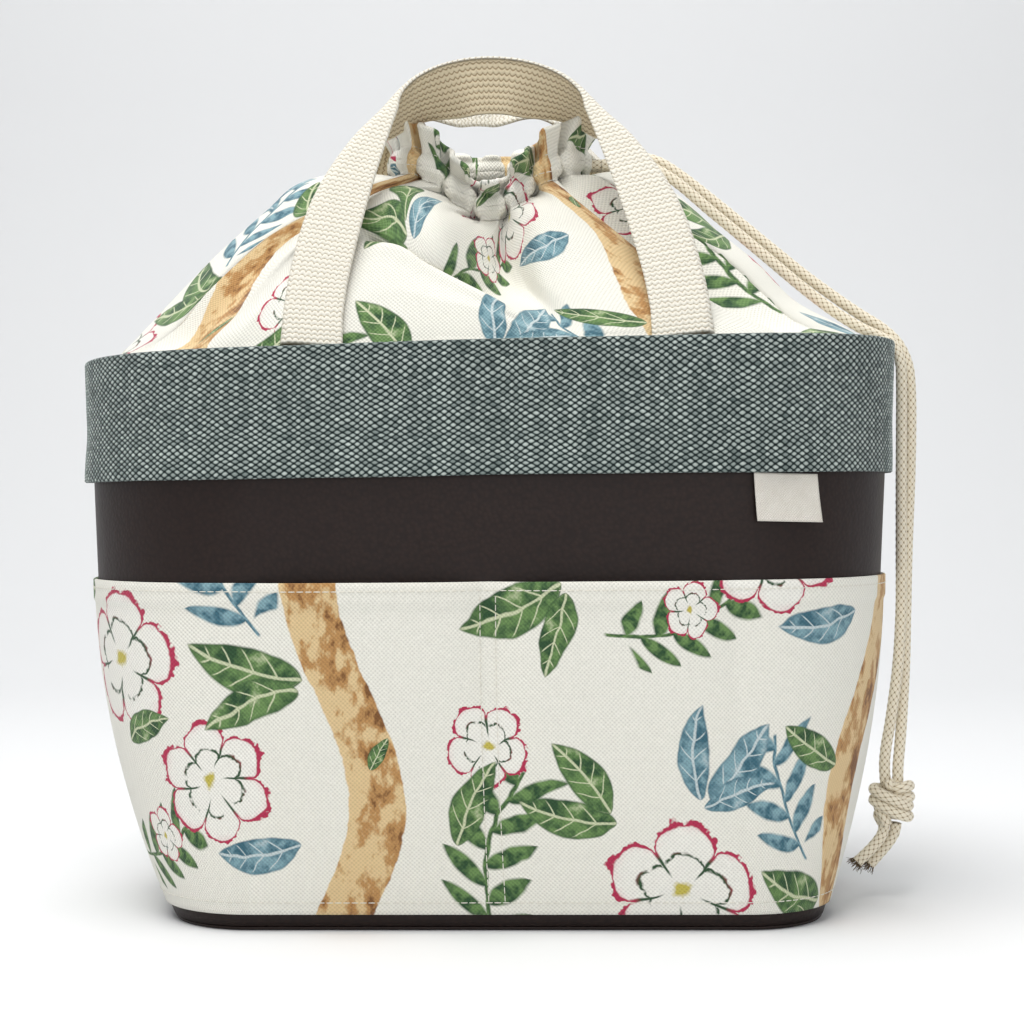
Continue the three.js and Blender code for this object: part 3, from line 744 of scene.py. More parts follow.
def askew(points):
    """The basket's own slight lean, which fades out over the collar."""
    x, z = points[..., 0], points[..., 2]
    rising = np.clip(z / RIM_HEIGHT, 0, 1) ** 3
    fading = np.clip((CASING_FOOT - z) / (CASING_FOOT - RIM_HEIGHT), 0, 1)
    moved = points.copy()
    moved[..., 0] += FOOT_SHIFT * np.clip(1 - z / BELLY_HEIGHT, 0, 1) ** 2
    moved[..., 2] += RIM_TILT * x * rising * fading
    return moved


def on_side(side, y):
    """Keeps the places of one half on its own side of the seams."""
    return np.maximum(y, SEAM_GAP) if side == "back" else np.minimum(y, -SEAM_GAP)


def sway(turn, height):
    """How far the whole wall stands off its even shape: no sewn wall is quite flat."""
    return 0.7 * MM * ripple(turn * 2.6, height * 22, 11) * smoothstep(0.0, 0.06, height)


HALVES = {"back": 0.0, "front": 2.0}


def half_turns(side, step):
    """Turns round one half, from seam to seam, about step apart at the rim."""
    half_width, half_depth, radius = RIM
    spans = [
        (0, SIDE_SHARE, half_depth - radius),
        (SIDE_SHARE, SIDE_SHARE + CORNER_SHARE, radius * math.pi / 2),
        (SIDE_SHARE + CORNER_SHARE, 1, half_width - radius),
    ]
    quarter = [
        np.linspace(low, high, max(2, round(length / step)), endpoint=False)
        for low, high, length in spans
    ]
    quarter = np.concatenate([*quarter, [1.0]])
    return HALVES[side] + np.concatenate([quarter, (2 - quarter[:-1])[::-1]])


def shell_points(side, turns, offset, height):
    """Points (turns, section) of a half shell, from the offset and height of its section."""
    turn = turns[:, None]
    x, y = plan_point(wall_plan(height), offset + sway(turn, height), turn)
    return grid(x, on_side(side, y), height)


def cloth_places(points, start=0.0):
    """Where the points of a closed section lie on its cloth: along the wall and round it."""
    closed = np.concatenate([points, points[:, :1]], axis=1)
    along = lengths_along(closed[:, closed.shape[1] // 4]) + start
    return grid(along[:, None], lengths_along(closed[len(closed) // 2]))


def shell_mesh(name, side, turns, offset, height, start=0.0):
    """A half shell from a closed section; start is where its cloth starts along the print."""
    points = shell_points(side, turns, offset, height)
    return grid_mesh(name, askew(points), cloth_places(points, start))


def dense(values, steps):
    """The corner values of a section with more points between them, the same for each list."""
    fine = []
    for value in values:
        ends = [*value[1:], value[0]]
        spans = zip(value, ends, steps)
        fine.append(np.concatenate([np.linspace(*span, endpoint=False) for span in spans]))
    return fine


# Thicknesses and offsets of the layers, as in the CAD

CLEARANCE = 0.3 * MM
LEATHER = 1.2 * MM
FOAM = 2.5 * MM
CANVAS = 0.8 * MM
TWEED = 1.8 * MM
LINING = 0.8 * MM
WEBBING = 2.0 * MM
COLLAR_CANVAS = 1.0 * MM
FOAM_OUTER = -(LEATHER + CLEARANCE)
FOAM_INNER = FOAM_OUTER - FOAM
TURN_IN_OUTER = FOAM_INNER - CLEARANCE
TURN_IN_INNER = TURN_IN_OUTER - TWEED
WEBBING_OUTER = TURN_IN_INNER - CLEARANCE
COLLAR_OUTER = WEBBING_OUTER - WEBBING - CLEARANCE
CUFF_OUTER = CLEARANCE + TWEED
BASE_THICKNESS = 1.5 * MM
BASE_LID = 0.02  # how far in from the edge its flat faces start
WALL_FOOT = 1.8 * MM
WALL_TOP = 0.2429
LINING_TOP = 0.216
CUFF_FOOT = 0.190
CUFF_TURN_IN = 0.025


def add_wall_layers(materials):
    """Faux leather, foam and lining, one inside the other."""
    layers = [
        ("leather_wall", 0.0, LEATHER, WALL_TOP, materials["leather"], 2.5 * MM),
        ("interlining", FOAM_OUTER, FOAM, WALL_TOP, materials["foam"], 8 * MM),
        ("lining", TURN_IN_OUTER, LINING, LINING_TOP, materials["lining"], 8 * MM),
    ]
    low = WALL_FOOT
    for side in HALVES:
        for layer, outer, thickness, high, material, step in layers:
            rows = max(12, round((high - low) / step / 1.6))
            inner = outer - thickness
            section = [(outer, outer, inner, inner), (low, high, high, low)]
            offset, height = dense(section, (rows, 2, rows, 2))
            node = f"{side}_{layer}"
            mesh = shell_mesh(f"{node}_skin", side, half_turns(side, step), offset, height)
            add_piece(f"{node}_skin", mesh, material, nodes=[node])


def add_base(materials):
    """The leather base panel with a soft edge that the wall is sewn to."""
    turns = np.concatenate([half_turns(side, 3 * MM)[:-1] for side in HALVES])
    edge = BASE_THICKNESS / 2
    rounding = np.linspace(-math.pi / 2, math.pi / 2, 7)
    insets = np.concatenate([[-BASE_LID], edge * (np.cos(rounding) - 1), [-BASE_LID]])
    heights = np.concatenate([[0.0], edge * (np.sin(rounding) + 1), [BASE_THICKNESS]])
    x, y = plan_point(BASE, insets[:, None], turns)
    cloth = grid(x, y)
    cloth = np.concatenate([cloth, cloth[:, :1]], axis=1)
    mesh = grid_mesh("base_skin", askew(grid(x, y, heights[:, None])), cloth)
    add_piece("base_skin", mesh, materials["leather"], ["base_panel"])


def jittered(cloth):
    """The cloth's places with the unevenness of hand-spun yarn."""
    along, across = cloth[..., 0], cloth[..., 1]
    broad = grid(0.8 * MM * ripple(along * 420, 0.0, 41), 0.6 * MM * ripple(0.0, across * 520, 43))
    fine = grid(ripple(along * 260, across * 700, 42), ripple(along * 300, across * 420, 44))
    return cloth + broad + 0.5 * MM * fine


def tweed_relief(cloth):
    """How high each yarn bead of the cuff stands, from 0 between the beads to 1."""
    a, b = cloth[..., 0] / (2 * TWEED_ALONG), cloth[..., 1] / (2 * TWEED_ACROSS)
    return np.abs(np.sin(math.pi * (a + b)) * np.sin(math.pi * (a - b))) ** 0.8


CUFF_STEP = 0.5 * MM
BEAD_HEIGHT = 0.6 * MM


def add_cuff(materials):
    rounding = TWEED * 0.9
    half = rounding * math.sqrt(0.5)
    top, foot, edge = RIM_HEIGHT, CUFF_FOOT, 0.6 * MM
    rows = round((top - foot) / CUFF_STEP * 0.9)
    section = [  # offset, height and the number of steps to the next corner
        (CLEARANCE, foot + edge, 1),
        (CLEARANCE + edge, foot, 2),
        (CUFF_OUTER - edge, foot, 1),
        (CUFF_OUTER, foot + edge, rows),
        (CUFF_OUTER, top - rounding, 2),
        (CUFF_OUTER - rounding + half, top - rounding + half, 2),
        (CUFF_OUTER - rounding, top, 10),
        (TURN_IN_INNER + rounding, top, 2),
        (TURN_IN_INNER + rounding - half, top - rounding + half, 2),
        (TURN_IN_INNER, top - rounding, 26),
        (TURN_IN_INNER, top - CUFF_TURN_IN, 2),
        (TURN_IN_OUTER, top - CUFF_TURN_IN, 20),
        (TURN_IN_OUTER, top - TWEED, 5),
        (CLEARANCE, top - TWEED, 20),
    ]
    *corners, steps = zip(*section)
    offset, height = dense(corners, steps)
    outside = (offset > CLEARANCE + edge / 2) | (height > top - rounding)
    upper, lower = smoothstep(0.22, top, height), smoothstep(0.205, foot, height)
    for side in HALVES:
        turns = half_turns(side, CUFF_STEP * 1.25)
        turn = turns[:, None]
        cloth = jittered(cloth_places(shell_points(side, turns, offset, height)))
        beads = BEAD_HEIGHT * (tweed_relief(cloth[:, :-1]) - 0.5) * outside
        lift = np.maximum(beads + 0.35 * MM * ripple(turn * 14, height * 60, 6), -0.2 * MM)
        flare = 1.1 * MM * smoothstep(0.215, foot, height) * (1 + ripple(turn * 9, height, 5))
        flare = np.where(offset > 0, flare, 0)
        raised = height + (0.9 * MM + 0.6 * MM * ripple(turn * 7, 0.0, 8)) * upper
        raised = raised + 0.6 * MM * ripple(turn * 11, 0.0, 9) * lower
        points = shell_points(side, turns, offset + lift + flare, raised)
        name = f"{side}_cuff_band"
        mesh = grid_mesh(name, askew(points), cloth)
        add_piece(name, mesh, materials["tweed"], [f"{side}_cuff"])


# Pockets

POCKET_FOOT = 0.007
POCKET_HEIGHT = 0.1395
POCKET_TOP = POCKET_FOOT + POCKET_HEIGHT
POCKET_SLACK = 0.006
POCKET_MIDDLE = 0.052
POCKET_REACH = 0.050
POCKET_HEM = 9 * MM
POCKET_ROWS = 66
UPPER_STITCHES, LOWER_STITCHES = POCKET_TOP - 3.6 * MM, POCKET_FOOT + 5.2 * MM
HEM_EXTRA = 0.7 * MM
DIVIDER_SPREAD = 3.2 * MM  # from the middle of the front to each line of stitches
PRINT_START = {"front": 0.031, "back": 0.36}  # where the cloth starts along the print


def pocket_stand(turn, height):
    """How far the pocket's inner face stands off the wall."""
    x, _ = plan_point(wall_plan(height), 0.0, turn)
    across = (np.abs(x) - POCKET_MIDDLE) / POCKET_REACH
    down = (POCKET_TOP - height) / POCKET_HEIGHT
    bulge = POCKET_SLACK * np.maximum(0, 1 - across**4) * (1 - down**2)
    creases = 0.9 * MM * ripple(turn * 6, height * 30, 21) * smoothstep(0.0, 0.02, bulge * 4)
    return CLEARANCE + 0.35 * MM + bulge + np.maximum(creases, -0.3 * MM)


def pocket_hem(height):
    """How far the doubled cloth of the hem stands out."""
    seam = POCKET_TOP - POCKET_HEM
    return HEM_EXTRA * smoothstep(seam - 0.5 * MM, seam, height)


def pocket_face(side, turn, height, extra):
    """Points on the pocket's outer face, extra above it."""
    offset = pocket_stand(turn, height) + CANVAS + pocket_hem(height) + extra + sway(turn, height)
    x, y = plan_point(wall_plan(height), offset, turn)
    return askew(grid(x, on_side(side, y), height))


def add_pockets(materials):
    edge = POCKET_TOP - 0.5 * MM
    section = [
        (POCKET_FOOT, edge, POCKET_TOP, POCKET_TOP, edge, POCKET_FOOT),
        (1, 1, 0.7, 0.3, 0, 0),  # how much of the cloth's thickness lies inside each corner
    ]
    height, outside = dense(section, (POCKET_ROWS, 2, 2, 2, POCKET_ROWS, 2))
    for side in HALVES:
        turns = half_turns(side, 2.2 * MM)
        offset = pocket_stand(turns[:, None], height) + (CANVAS + pocket_hem(height)) * outside
        name = f"{side}_pocket_cloth"
        mesh = shell_mesh(name, side, turns, offset, height, PRINT_START[side])
        made = add_piece(name, mesh, materials["canvas"], [f"{side}_pocket"])


# Stitches: small barrels of thread along a line

STITCH = 2.9 * MM
STITCH_GAP = 0.6 * MM
THREAD = 0.5 * MM


def stitch_mesh(name, lines):
    """lines are (points, outward directions); each stitch is a small six-sided barrel."""
    barrel = [(0.0, 0.25), (0.12, 0.8), (0.5, 1.0), (0.88, 0.8), (1.0, 0.25)]
    sides = 6
    vertices, faces = [], []
    for points, outwards in lines:
        run = lengths_along(points)
        for start in np.arange(STITCH_GAP, run[-1] - STITCH, STITCH + STITCH_GAP):
            first, last, out = (
                np.array([np.interp(place, run, column) for column in rows.T])
                for place, rows in ((start, points), (start + STITCH, points), (start, outwards))
            )
            out = unit(out)
            across = np.cross(unit(last - first), out)
            faces += tube_faces(len(vertices), len(barrel), sides)
            for share, size in barrel:
                middle = first + (last - first) * share + out * THREAD * (0.18 - 0.28 * (1 - size))
                vertices += ring_points(middle, THREAD / 2 * size, out, across, sides)
    mesh = bpy.data.meshes.new(name)
    mesh.from_pydata(vertices, [], faces)
    smooth_faces(mesh)
    face_out(mesh)
    return mesh


def add_stitches(name, lines, materials):
    add_piece(name, stitch_mesh(name, lines), materials["cream_thread"])


def add_pocket_stitches(materials):
    turns = np.linspace(0.004, 1.996, 420)
    heights = np.linspace(POCKET_FOOT + 5 * MM, UPPER_STITCHES, 120)
    half_front = (BELLY[0] - BELLY[2]) / (1 - SIDE_SHARE - CORNER_SHARE)
    spread = DIVIDER_SPREAD / half_front
    seams = [
        (turns, UPPER_STITCHES),
        (turns, LOWER_STITCHES),
        (1 - spread, heights),
        (1 + spread, heights),
    ]
    for side, start in HALVES.items():
        lines = []
        for turn, height in seams:
            points, above = (pocket_face(side, start + turn, height, extra) for extra in (0.0, MM))
            lines.append((points, above - points))
        add_stitches(f"{side}_pocket_stitches", lines, materials)


# Handles

# Each is a flat band whose outer edge rolls back on the way up, so that its inner face shows at the
# crown. Sizes are in the handle's own plane, where the middle of the feet is the origin.
WEBBING_WIDTH = 25.4 * MM
FOOT_SPACING = 0.154
LEAN = {"front": 25, "back": 12}
BACK_GIVE = 12  # the back handle can lean this much further in, in degrees
RISE = {"front": 0.0, "back": -1.5 * MM}  # how much higher the crown stands
CROWN_SHIFT = {"front": 0.0, "back": -9 * MM}  # how far it has sunk to one side
FOLD_GAP = 0.9 * MM
FOLD_HEIGHT = RIM_HEIGHT + FOLD_GAP + WEBBING / 2
WEBBING_MIDDLE = WEBBING_OUTER - WEBBING / 2
FOLD_LENGTH = CUFF_OUTER - WEBBING_MIDDLE + WEBBING / 2 + 2 * CLEARANCE
FOLD_DEPTH = RIM[1] + WEBBING_MIDDLE
FOOT_START = FOLD_LENGTH + WEBBING / 2 + CLEARANCE
SEWN_DEPTH = 0.028
STRAP_LOW = -2.2 * MM  # the strap's lower end lies just behind the rim
ARCH_TOP = 0.1421
ROLL_RADIUS = 4.5 * MM
TIGHTEST_ROLL = 1.2 * MM
CROWN_TURN = math.radians(40)  # how far the crown's near edge already faces backwards
ROLL_MIDDLE, ROLL_SIDE = math.radians(150), math.radians(98)

# The band's inner edge from a foot to the crown, and how much of the band still faces forward
STRAP_EDGE = [
    (0.0622, 0.030, 25.4), (0.0576, 0.053, 25.2), (0.0523, 0.076, 21.6), (0.0467, 0.097, 15.4),
    (0.0437, 0.1075, 10.6), (0.0408, 0.1165, 6.4), (0.0366, 0.1250, 3.9), (0.0300, 0.1325, 2.7),
    (0.0205, 0.1382, 2.1), (0.0102, 0.1412, 1.9), (0.0, ARCH_TOP, 1.8),
]


def strap_half(side):
    """The inner edge and the forward-facing width, from the right foot over the crown."""
    rise = RISE[side]
    foot = FOOT_SPACING / 2 - WEBBING_WIDTH / 2
    rows = [(foot, FOOT_START, 25.4)]
    rows += [(x, z + rise * smoothstep(0.02, 0.12, z), reach) for x, z, reach in STRAP_EDGE]
    rows = np.array([(x, z, reach * MM) for x, z, reach in rows])
    mirrored = rows[-2::-1] * np.array([-1.0, 1, 1])
    return catmull(np.concatenate([rows, mirrored]), 16)


def strap_rows(side, step=1.1 * MM):
    """(inner edge, outward direction, reach, ruling) along the whole band, left foot to right."""
    line = strap_half(side)[::-1]
    edge = line[:, :2]
    run = lengths_along(edge)
    count = int(round(run[-1] / step)) + 1
    places = np.linspace(0, run[-1], count)
    x, z, reach = (np.interp(places, run, line[:, k]) for k in range(3))
    kernel = np.hanning(9)
    kernel /= kernel.sum()

    def eased(values):
        padded = np.concatenate([
            2 * values[0] - values[4:0:-1], values, 2 * values[-1] - values[-2:-6:-1],
        ])
        return np.convolve(padded, kernel, "valid")

    x, z, reach = eased(x), eased(z), eased(reach)
    along = unit(grid(np.gradient(x), np.gradient(z)))
    outward = grid(-along[:, 1], along[:, 0])
    rim = grid(x, z) + outward * reach[:, None]
    ruling = unit(np.gradient(rim, axis=0))
    ruling = grid(eased(ruling[:, 0]), eased(ruling[:, 1]))
    return grid(x, z), outward, reach, unit(ruling)


def strap_surface(side, across):
    """The band's middle surface: rows from foot to foot, columns from its inner edge outwards."""
    edge, outward, reach, ruling = strap_rows(side)
    crown = 1 - smoothstep(2 * MM, 7 * MM, reach)
    radius = np.clip(reach * 0.62, TIGHTEST_ROLL, ROLL_RADIUS)
    straight = np.maximum(0, reach - radius) * (1 - crown)
    first = CROWN_TURN * crown
    last = lerp(ROLL_MIDDLE, ROLL_SIDE, smoothstep(8 * MM, 40 * MM, np.abs(edge[:, 0])))
    skew = np.einsum("ij,ij->i", outward, ruling)
    square = np.sqrt(np.maximum(0.05, 1 - skew**2))
    normal = grid(-ruling[:, 1], ruling[:, 0])
    steps = np.diff(across, prepend=across[0])
    start = edge + outward * ((reach - 0.8 * MM) * crown)[:, None]
    columns = [grid(start[:, 0], np.zeros(len(edge)), start[:, 1])]
    for place, step in zip(across[1:], steps[1:]):
        turned = np.clip(first + (place - step / 2 - straight) / radius, first, last)
        flat = skew[:, None] * ruling + (square * np.cos(turned))[:, None] * normal
        way = grid(flat[:, 0], square * np.sin(turned), flat[:, 1])
        columns.append(columns[-1] + way * step)
    return np.stack(columns, axis=1)


INNER_FACE = 320 * 2 * WEBBING_ACROSS  # added to the cloth's place across on the inner face


def band_mesh(name, middle, half_edge=0.3 * MM):
    """A thick band from its middle surface (along, across), with soft edges."""
    across = np.gradient(middle, axis=1)
    normal = unit(np.cross(np.gradient(middle, axis=0), across))
    sideways = unit(across) * half_edge
    count = middle.shape[1]
    inset = np.ones(count)
    inset[0] = inset[-1] = 0.7
    out = normal * (WEBBING / 2 * inset)[None, :, None]
    edges = middle[:, -1:] + sideways[:, -1:], middle[:, :1] - sideways[:, :1]
    points = np.concatenate([middle + out, edges[0], (middle - out)[:, ::-1], edges[1]], axis=1)
    run = lengths_along(middle[:, count // 2])
    width = lengths_along(middle[len(middle) // 2]) - WEBBING_WIDTH / 2
    edge = width[-1] + half_edge
    places = np.concatenate([width, [edge], INNER_FACE + width[::-1], [-edge], width[:1]])
    return grid_mesh(name, points, grid(run[:, None], places))


FRONT_SHIFT = 4 * MM  # the front handle's feet stand this far to the right of the middle
FACING = {"front": np.ones(3), "back": np.array([-1.0, -1, 1])}


def place_handle(points, side):
    """From the handle's own frame to the basket's."""
    lean = math.radians(LEAN[side])
    x, y, z = points[..., 0], points[..., 1], points[..., 2]
    placed = grid(
        x,
        y * math.cos(lean) + z * math.sin(lean) - FOLD_DEPTH,
        z * math.cos(lean) - y * math.sin(lean) + FOLD_HEIGHT,
    )
    return placed * FACING[side]


def handle_askew(points, side):
    """The handle follows the rim's tilt at its feet and leans to the left at its crown."""
    moved = points.copy()
    share = np.clip((points[..., 2] - RIM_HEIGHT) / ARCH_TOP, 0, 1)
    tilt = RIM_TILT * points[..., 0] * np.clip(points[..., 2] / RIM_HEIGHT, 0, 1) ** 3
    moved[..., 2] += tilt * (1 - share)
    moved[..., 0] += CROWN_SHIFT[side] * share**1.5
    if side == "front":
        moved[..., 0] += FRONT_SHIFT * (1 - share)
    return moved


def add_handle(side, materials):
    across = np.linspace(0, WEBBING_WIDTH, 27)
    middle = strap_surface(side, across)
    drop = np.linspace(FOOT_START, STRAP_LOW, 15)[1:]
    share = smoothstep(0, 1, (FOOT_START - drop) / (FOOT_START - STRAP_LOW))
    feet = []
    for row, sign in ((middle[0], -1), (middle[-1], 1)):
        level = row.copy()
        level[:, 0] = sign * (FOOT_SPACING / 2 - WEBBING_WIDTH / 2 + across)
        slid = lerp(row[None], level[None], share[:, None, None])
        slid[..., 2] = row[None, :, 2] + (drop - FOOT_START)[:, None]
        feet.append(slid)
    middle = np.concatenate([feet[0][::-1], middle, feet[1]])
    middle = handle_askew(place_handle(middle, side), side)
    nodes = [f"{side}_handle", f"{side}_handle_left_fold", f"{side}_handle_right_fold"]
    mesh = band_mesh(f"{side}_strap", middle)
    strap = add_piece(f"{side}_strap", mesh, materials["webbing"], nodes, body=None)
    sign = -1 if side == "front" else 1
    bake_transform(strap)
    for name, way in (("left", -1), ("right", 1)):
        add_handle_foot(side, name, way * -sign * FOOT_SPACING / 2, materials)


def add_handle_foot(side, name, x, materials):
    """The end of the band that is sewn into the rim."""
    across = np.linspace(-WEBBING_WIDTH / 2, WEBBING_WIDTH / 2, 15)
    sewn = np.linspace(RIM_HEIGHT - SEWN_DEPTH, FOLD_HEIGHT + STRAP_LOW, 30)[:, None]
    inner = FOLD_DEPTH + (wall_plan(sewn)[1] - RIM[1])
    middle = grid(x + across, -inner, sewn) * FACING[side]
    piece = f"{side}_handle_{name}_foot"
    mesh = band_mesh(piece, handle_askew(middle, side))
    add_piece(piece, mesh, materials["webbing"], [f"{side}_handle_{name}_end"])


# Cloth tag

TAG_WIDTH, TAG_HEIGHT, TAG_THICKNESS = 29 * MM, 20 * MM, 0.5 * MM
TAG_PLACE = 0.123  # the tag's middle, right of the basket's


def add_tag(materials):
    """A bare cloth tag, sewn in under the cuff."""
    low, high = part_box("cloth_tag")
    half_width, _, radius = wall_plan(np.array(CUFF_FOOT))
    angle = math.asin((TAG_PLACE - (half_width - radius)) / (radius + 0.75 * MM))
    along = np.array([math.cos(angle), math.sin(angle), 0])
    out = np.array([math.sin(angle), -math.cos(angle), 0])
    top = np.array([(low.x + high.x) / 2, (low.y + high.y) / 2, high.z])
    us, vs = np.linspace(-0.5, 0.5, 31), np.linspace(0, 1, 23)
    u, v = np.meshgrid(us, vs, indexing="ij")
    wide = u * TAG_WIDTH * (1 + 0.02 * v) + 1.6 * MM * v
    curl = 1.2 * MM * v**2 + 0.5 * MM * np.sin(u * 5 + 0.6) * v
    level = -v * TAG_HEIGHT + RIM_TILT * TAG_PLACE * 0.46 - 0.6 * MM * u
    middle = top + wide[..., None] * along + curl[..., None] * out + grid(0.0, 0.0, level)
    half = TAG_THICKNESS / 2 * out
    points = np.concatenate([middle + half, (middle - half)[:, ::-1]], axis=1)
    width = np.concatenate([vs, vs[::-1], [vs[0]]]) * TAG_HEIGHT
    mesh = grid_mesh("tag_cloth", points, grid(us[:, None] * TAG_WIDTH, width))
    add_piece("tag_cloth", mesh, materials["tape"], ["cloth_tag"], "tag")


# Drawcord: the points of its free strands, as in the CAD

CORD = 5 * MM
TUBE_STEP = 0.55 * MM
TUBE_SIDES = 28
FIBRES = 46  # loose fibres at each cut end
FIBRE = 0.22 * MM  # half a fibre's thickness
STRAND_FRONT = [
    (0.0510, -0.0032, 0.3340), (0.0560, -0.0032, 0.3342), (0.0620, -0.0033, 0.3346),
    (0.0685, -0.0036, 0.3343), (0.0770, -0.0040, 0.3312), (0.0870, -0.0048, 0.3246),
    (0.1000, -0.0060, 0.3132), (0.1140, -0.0076, 0.3013), (0.1280, -0.0094, 0.2892),
    (0.1420, -0.0114, 0.2770), (0.1550, -0.0136, 0.2666), (0.1665, -0.0158, 0.2588),
    (0.1756, -0.0176, 0.2542), (0.1820, -0.0188, 0.2502), (0.1853, -0.0194, 0.2425),
    (0.1858, -0.0196, 0.2320), (0.1858, -0.0196, 0.2150), (0.1857, -0.0196, 0.1900),
    (0.1857, -0.0197, 0.1600), (0.1856, -0.0199, 0.1300), (0.1842, -0.0198, 0.1050),
    (0.1814, -0.0190, 0.0820), (0.1793, -0.0180, 0.0680), (0.1788, -0.0172, 0.0600),
    (0.1792, -0.0170, 0.0522),
]
STRAND_BACK = [
    (0.0510, 0.0032, 0.3340), (0.0560, 0.0032, 0.3343), (0.0620, 0.0031, 0.3360),
    (0.0690, 0.0028, 0.3382), (0.0780, 0.0022, 0.3360), (0.0880, 0.0012, 0.3296),
    (0.1010, -0.0004, 0.3192), (0.1150, -0.0024, 0.3074), (0.1290, -0.0046, 0.2954),
    (0.1430, -0.0068, 0.2836), (0.1565, -0.0090, 0.2732), (0.1684, -0.0112, 0.2646),
    (0.1780, -0.0130, 0.2582), (0.1852, -0.0142, 0.2510), (0.1894, -0.0148, 0.2418),
    (0.1907, -0.0150, 0.2315), (0.1910, -0.0150, 0.2150), (0.1906, -0.0148, 0.1900),
    (0.1896, -0.0142, 0.1600), (0.1890, -0.0140, 0.1300), (0.1884, -0.0144, 0.1050),
    (0.1870, -0.0154, 0.0820), (0.1858, -0.0164, 0.0680), (0.1850, -0.0169, 0.0600),
    (0.1848, -0.0170, 0.0522),
]
TAIL_FRONT = [
    (0.1786, -0.0182, 0.0339), (0.1776, -0.0186, 0.0290), (0.1744, -0.0192, 0.0246),
    (0.1702, -0.0198, 0.0204), (0.1658, -0.0202, 0.0164),
]
TAIL_BACK = [
    (0.1842, -0.0166, 0.0337), (0.1834, -0.0162, 0.0290), (0.1806, -0.0156, 0.0242),
    (0.1768, -0.0150, 0.0194), (0.1726, -0.0146, 0.0144),
]
LOOP_POINTS = 160
LOOP_END = 0.225  # where the cord turns away from the neck, in turns from the seam
KNOT_MIDDLE = np.array([0.1820, -0.0170, 0.0429])


def braid_height(along, around):
    turn = around * math.pi * BRAID_STRANDS
    run = along * math.pi / BRAID_PITCH
    return np.abs(np.sin(run + turn)) * np.abs(np.sin(run - turn))


def braided_tube(name, path, diameter):
    """A tube with the braid in its surface; its cloth map runs along and round it."""
    path = resample(path, TUBE_STEP)
    side, other = frames_along(path, np.array([0.3, 1.0, 0.1]))
    around = np.arange(TUBE_SIDES) / TUBE_SIDES
    run = lengths_along(path)[:, None]
    height = braid_height(run, around)
    radius = diameter / 2 * (0.93 + 0.09 * np.minimum(height * 1.6, 1))
    angle = 2 * math.pi * around[None, :, None]
    points = path[:, None, :] + radius[..., None] * (
        np.cos(angle) * side[:, None, :] + np.sin(angle) * other[:, None, :]
    )
    return path, grid_mesh(name, points, grid(run, np.append(around, 1.0)))


# The turn that each strand makes in the knot, in millimetres from its middle: along X, out and up
KNOT_TURN = [
    (-2.0, 0.0, 10.0), (-1.5, -1.0, 6.5), (1.5, -3.5, 4.6), (6.2, -3.2, 5.4), (8.2, 1.2, 5.0),
    (4.6, 4.6, 3.0), (-1.5, 5.4, 2.8), (-6.6, 3.4, 3.6), (-7.8, -1.0, 3.4), (-4.4, -5.0, 1.4),
    (1.0, -6.2, -1.2), (6.0, -4.0, -3.2), (7.4, 0.6, -3.6), (3.6, 4.2, -3.6), (-2.6, 4.2, -3.0),
    (-5.6, 0.8, -3.6), (-4.6, -1.2, -6.2), (-3.4, -1.0, -9.4),
]


def knot_path(spread):
    """One strand of the knot; the two strands lie beside each other all the way."""
    path = catmull(np.array(KNOT_TURN) * MM, 8)
    direction = unit(np.gradient(path, axis=0))
    outward = unit(path * np.array([1, 1, 0]) + 1e-6)
    return KNOT_MIDDLE + path + unit(np.cross(direction, outward)) * spread


def frayed_end(name, at, direction):
    """A tuft of loose fibres at a cord's cut end."""
    draw = np.random.default_rng(sum(map(ord, name)))
    vertices, faces = [], []
    direction = unit(np.array(direction, float))
    side = unit(np.cross(direction, [0, 1.0, 0.2]))
    other = np.cross(direction, side)
    for _ in range(FIBRES):
        angle = draw.uniform(0, 2 * math.pi)
        off = CORD * 0.42 * math.sqrt(draw.uniform(0, 1))
        outward = math.cos(angle) * side + math.sin(angle) * other
        root = at + off * outward - direction * MM
        reach = draw.uniform(2.0, 5.0) * MM
        tip_way = unit(direction + draw.uniform(0.1, 0.9) * outward)
        middle = root + tip_way * reach * 0.5 + 0.3 * MM * draw.normal(size=3)
        faces += tube_faces(len(vertices), 3, 4)
        for point, size in ((root, 1.0), (middle, 0.9), (root + tip_way * reach, 0.35)):
            vertices += ring_points(point, FIBRE * size, side, other, 4)
    mesh = bpy.data.meshes.new(name)
    mesh.from_pydata(vertices, [], faces)
    face_out(mesh)
    return mesh


def add_drawcord(materials):
    def add(name, mesh, *nodes):
        return add_piece(name, mesh, materials["cord"], nodes)

    for name, spread, tail in (("front", 2.4 * MM, TAIL_FRONT), ("back", -2.4 * MM, TAIL_BACK)):
        _, knot = braided_tube(f"knot_{name}", knot_path(spread), CORD)
        path, end = braided_tube(f"tail_{name}", catmull(tail, 8), CORD)
        fray = frayed_end(f"fray_{name}", path[-1], path[-1] - path[-4])
        nodes = ["drawcord_knot"] if name == "front" else []
        add(f"knot_{name}", knot, *nodes)
        add(f"tail_{name}", end, f"drawcord_tail_{name}")
        add(f"fray_{name}", fray)
    for name, strand in (("front", STRAND_FRONT), ("back", STRAND_BACK)):
        path, mesh = braided_tube(f"strand_{name}", catmull(strand, 8), CORD)
        made = add(f"strand_{name}", mesh, f"drawcord_strand_{name}")
    turns = np.linspace(LOOP_END, 4 - LOOP_END, LOOP_POINTS)
    inside = neck_surface(turns[:, None], np.zeros(1))[:, 0]
    ends = [np.array(strand[0]) for strand in (STRAND_BACK, STRAND_FRONT)]
    door = np.array([6 * MM, 0, 0])
    route = [ends[0], ends[0] - door, *askew(inside), ends[1] - door, ends[1]]
    _, mesh = braided_tube("loop", resample(catmull(route, 4), MM), CORD * 0.97)
    add("loop", mesh, "drawcord_loop")


# Collar

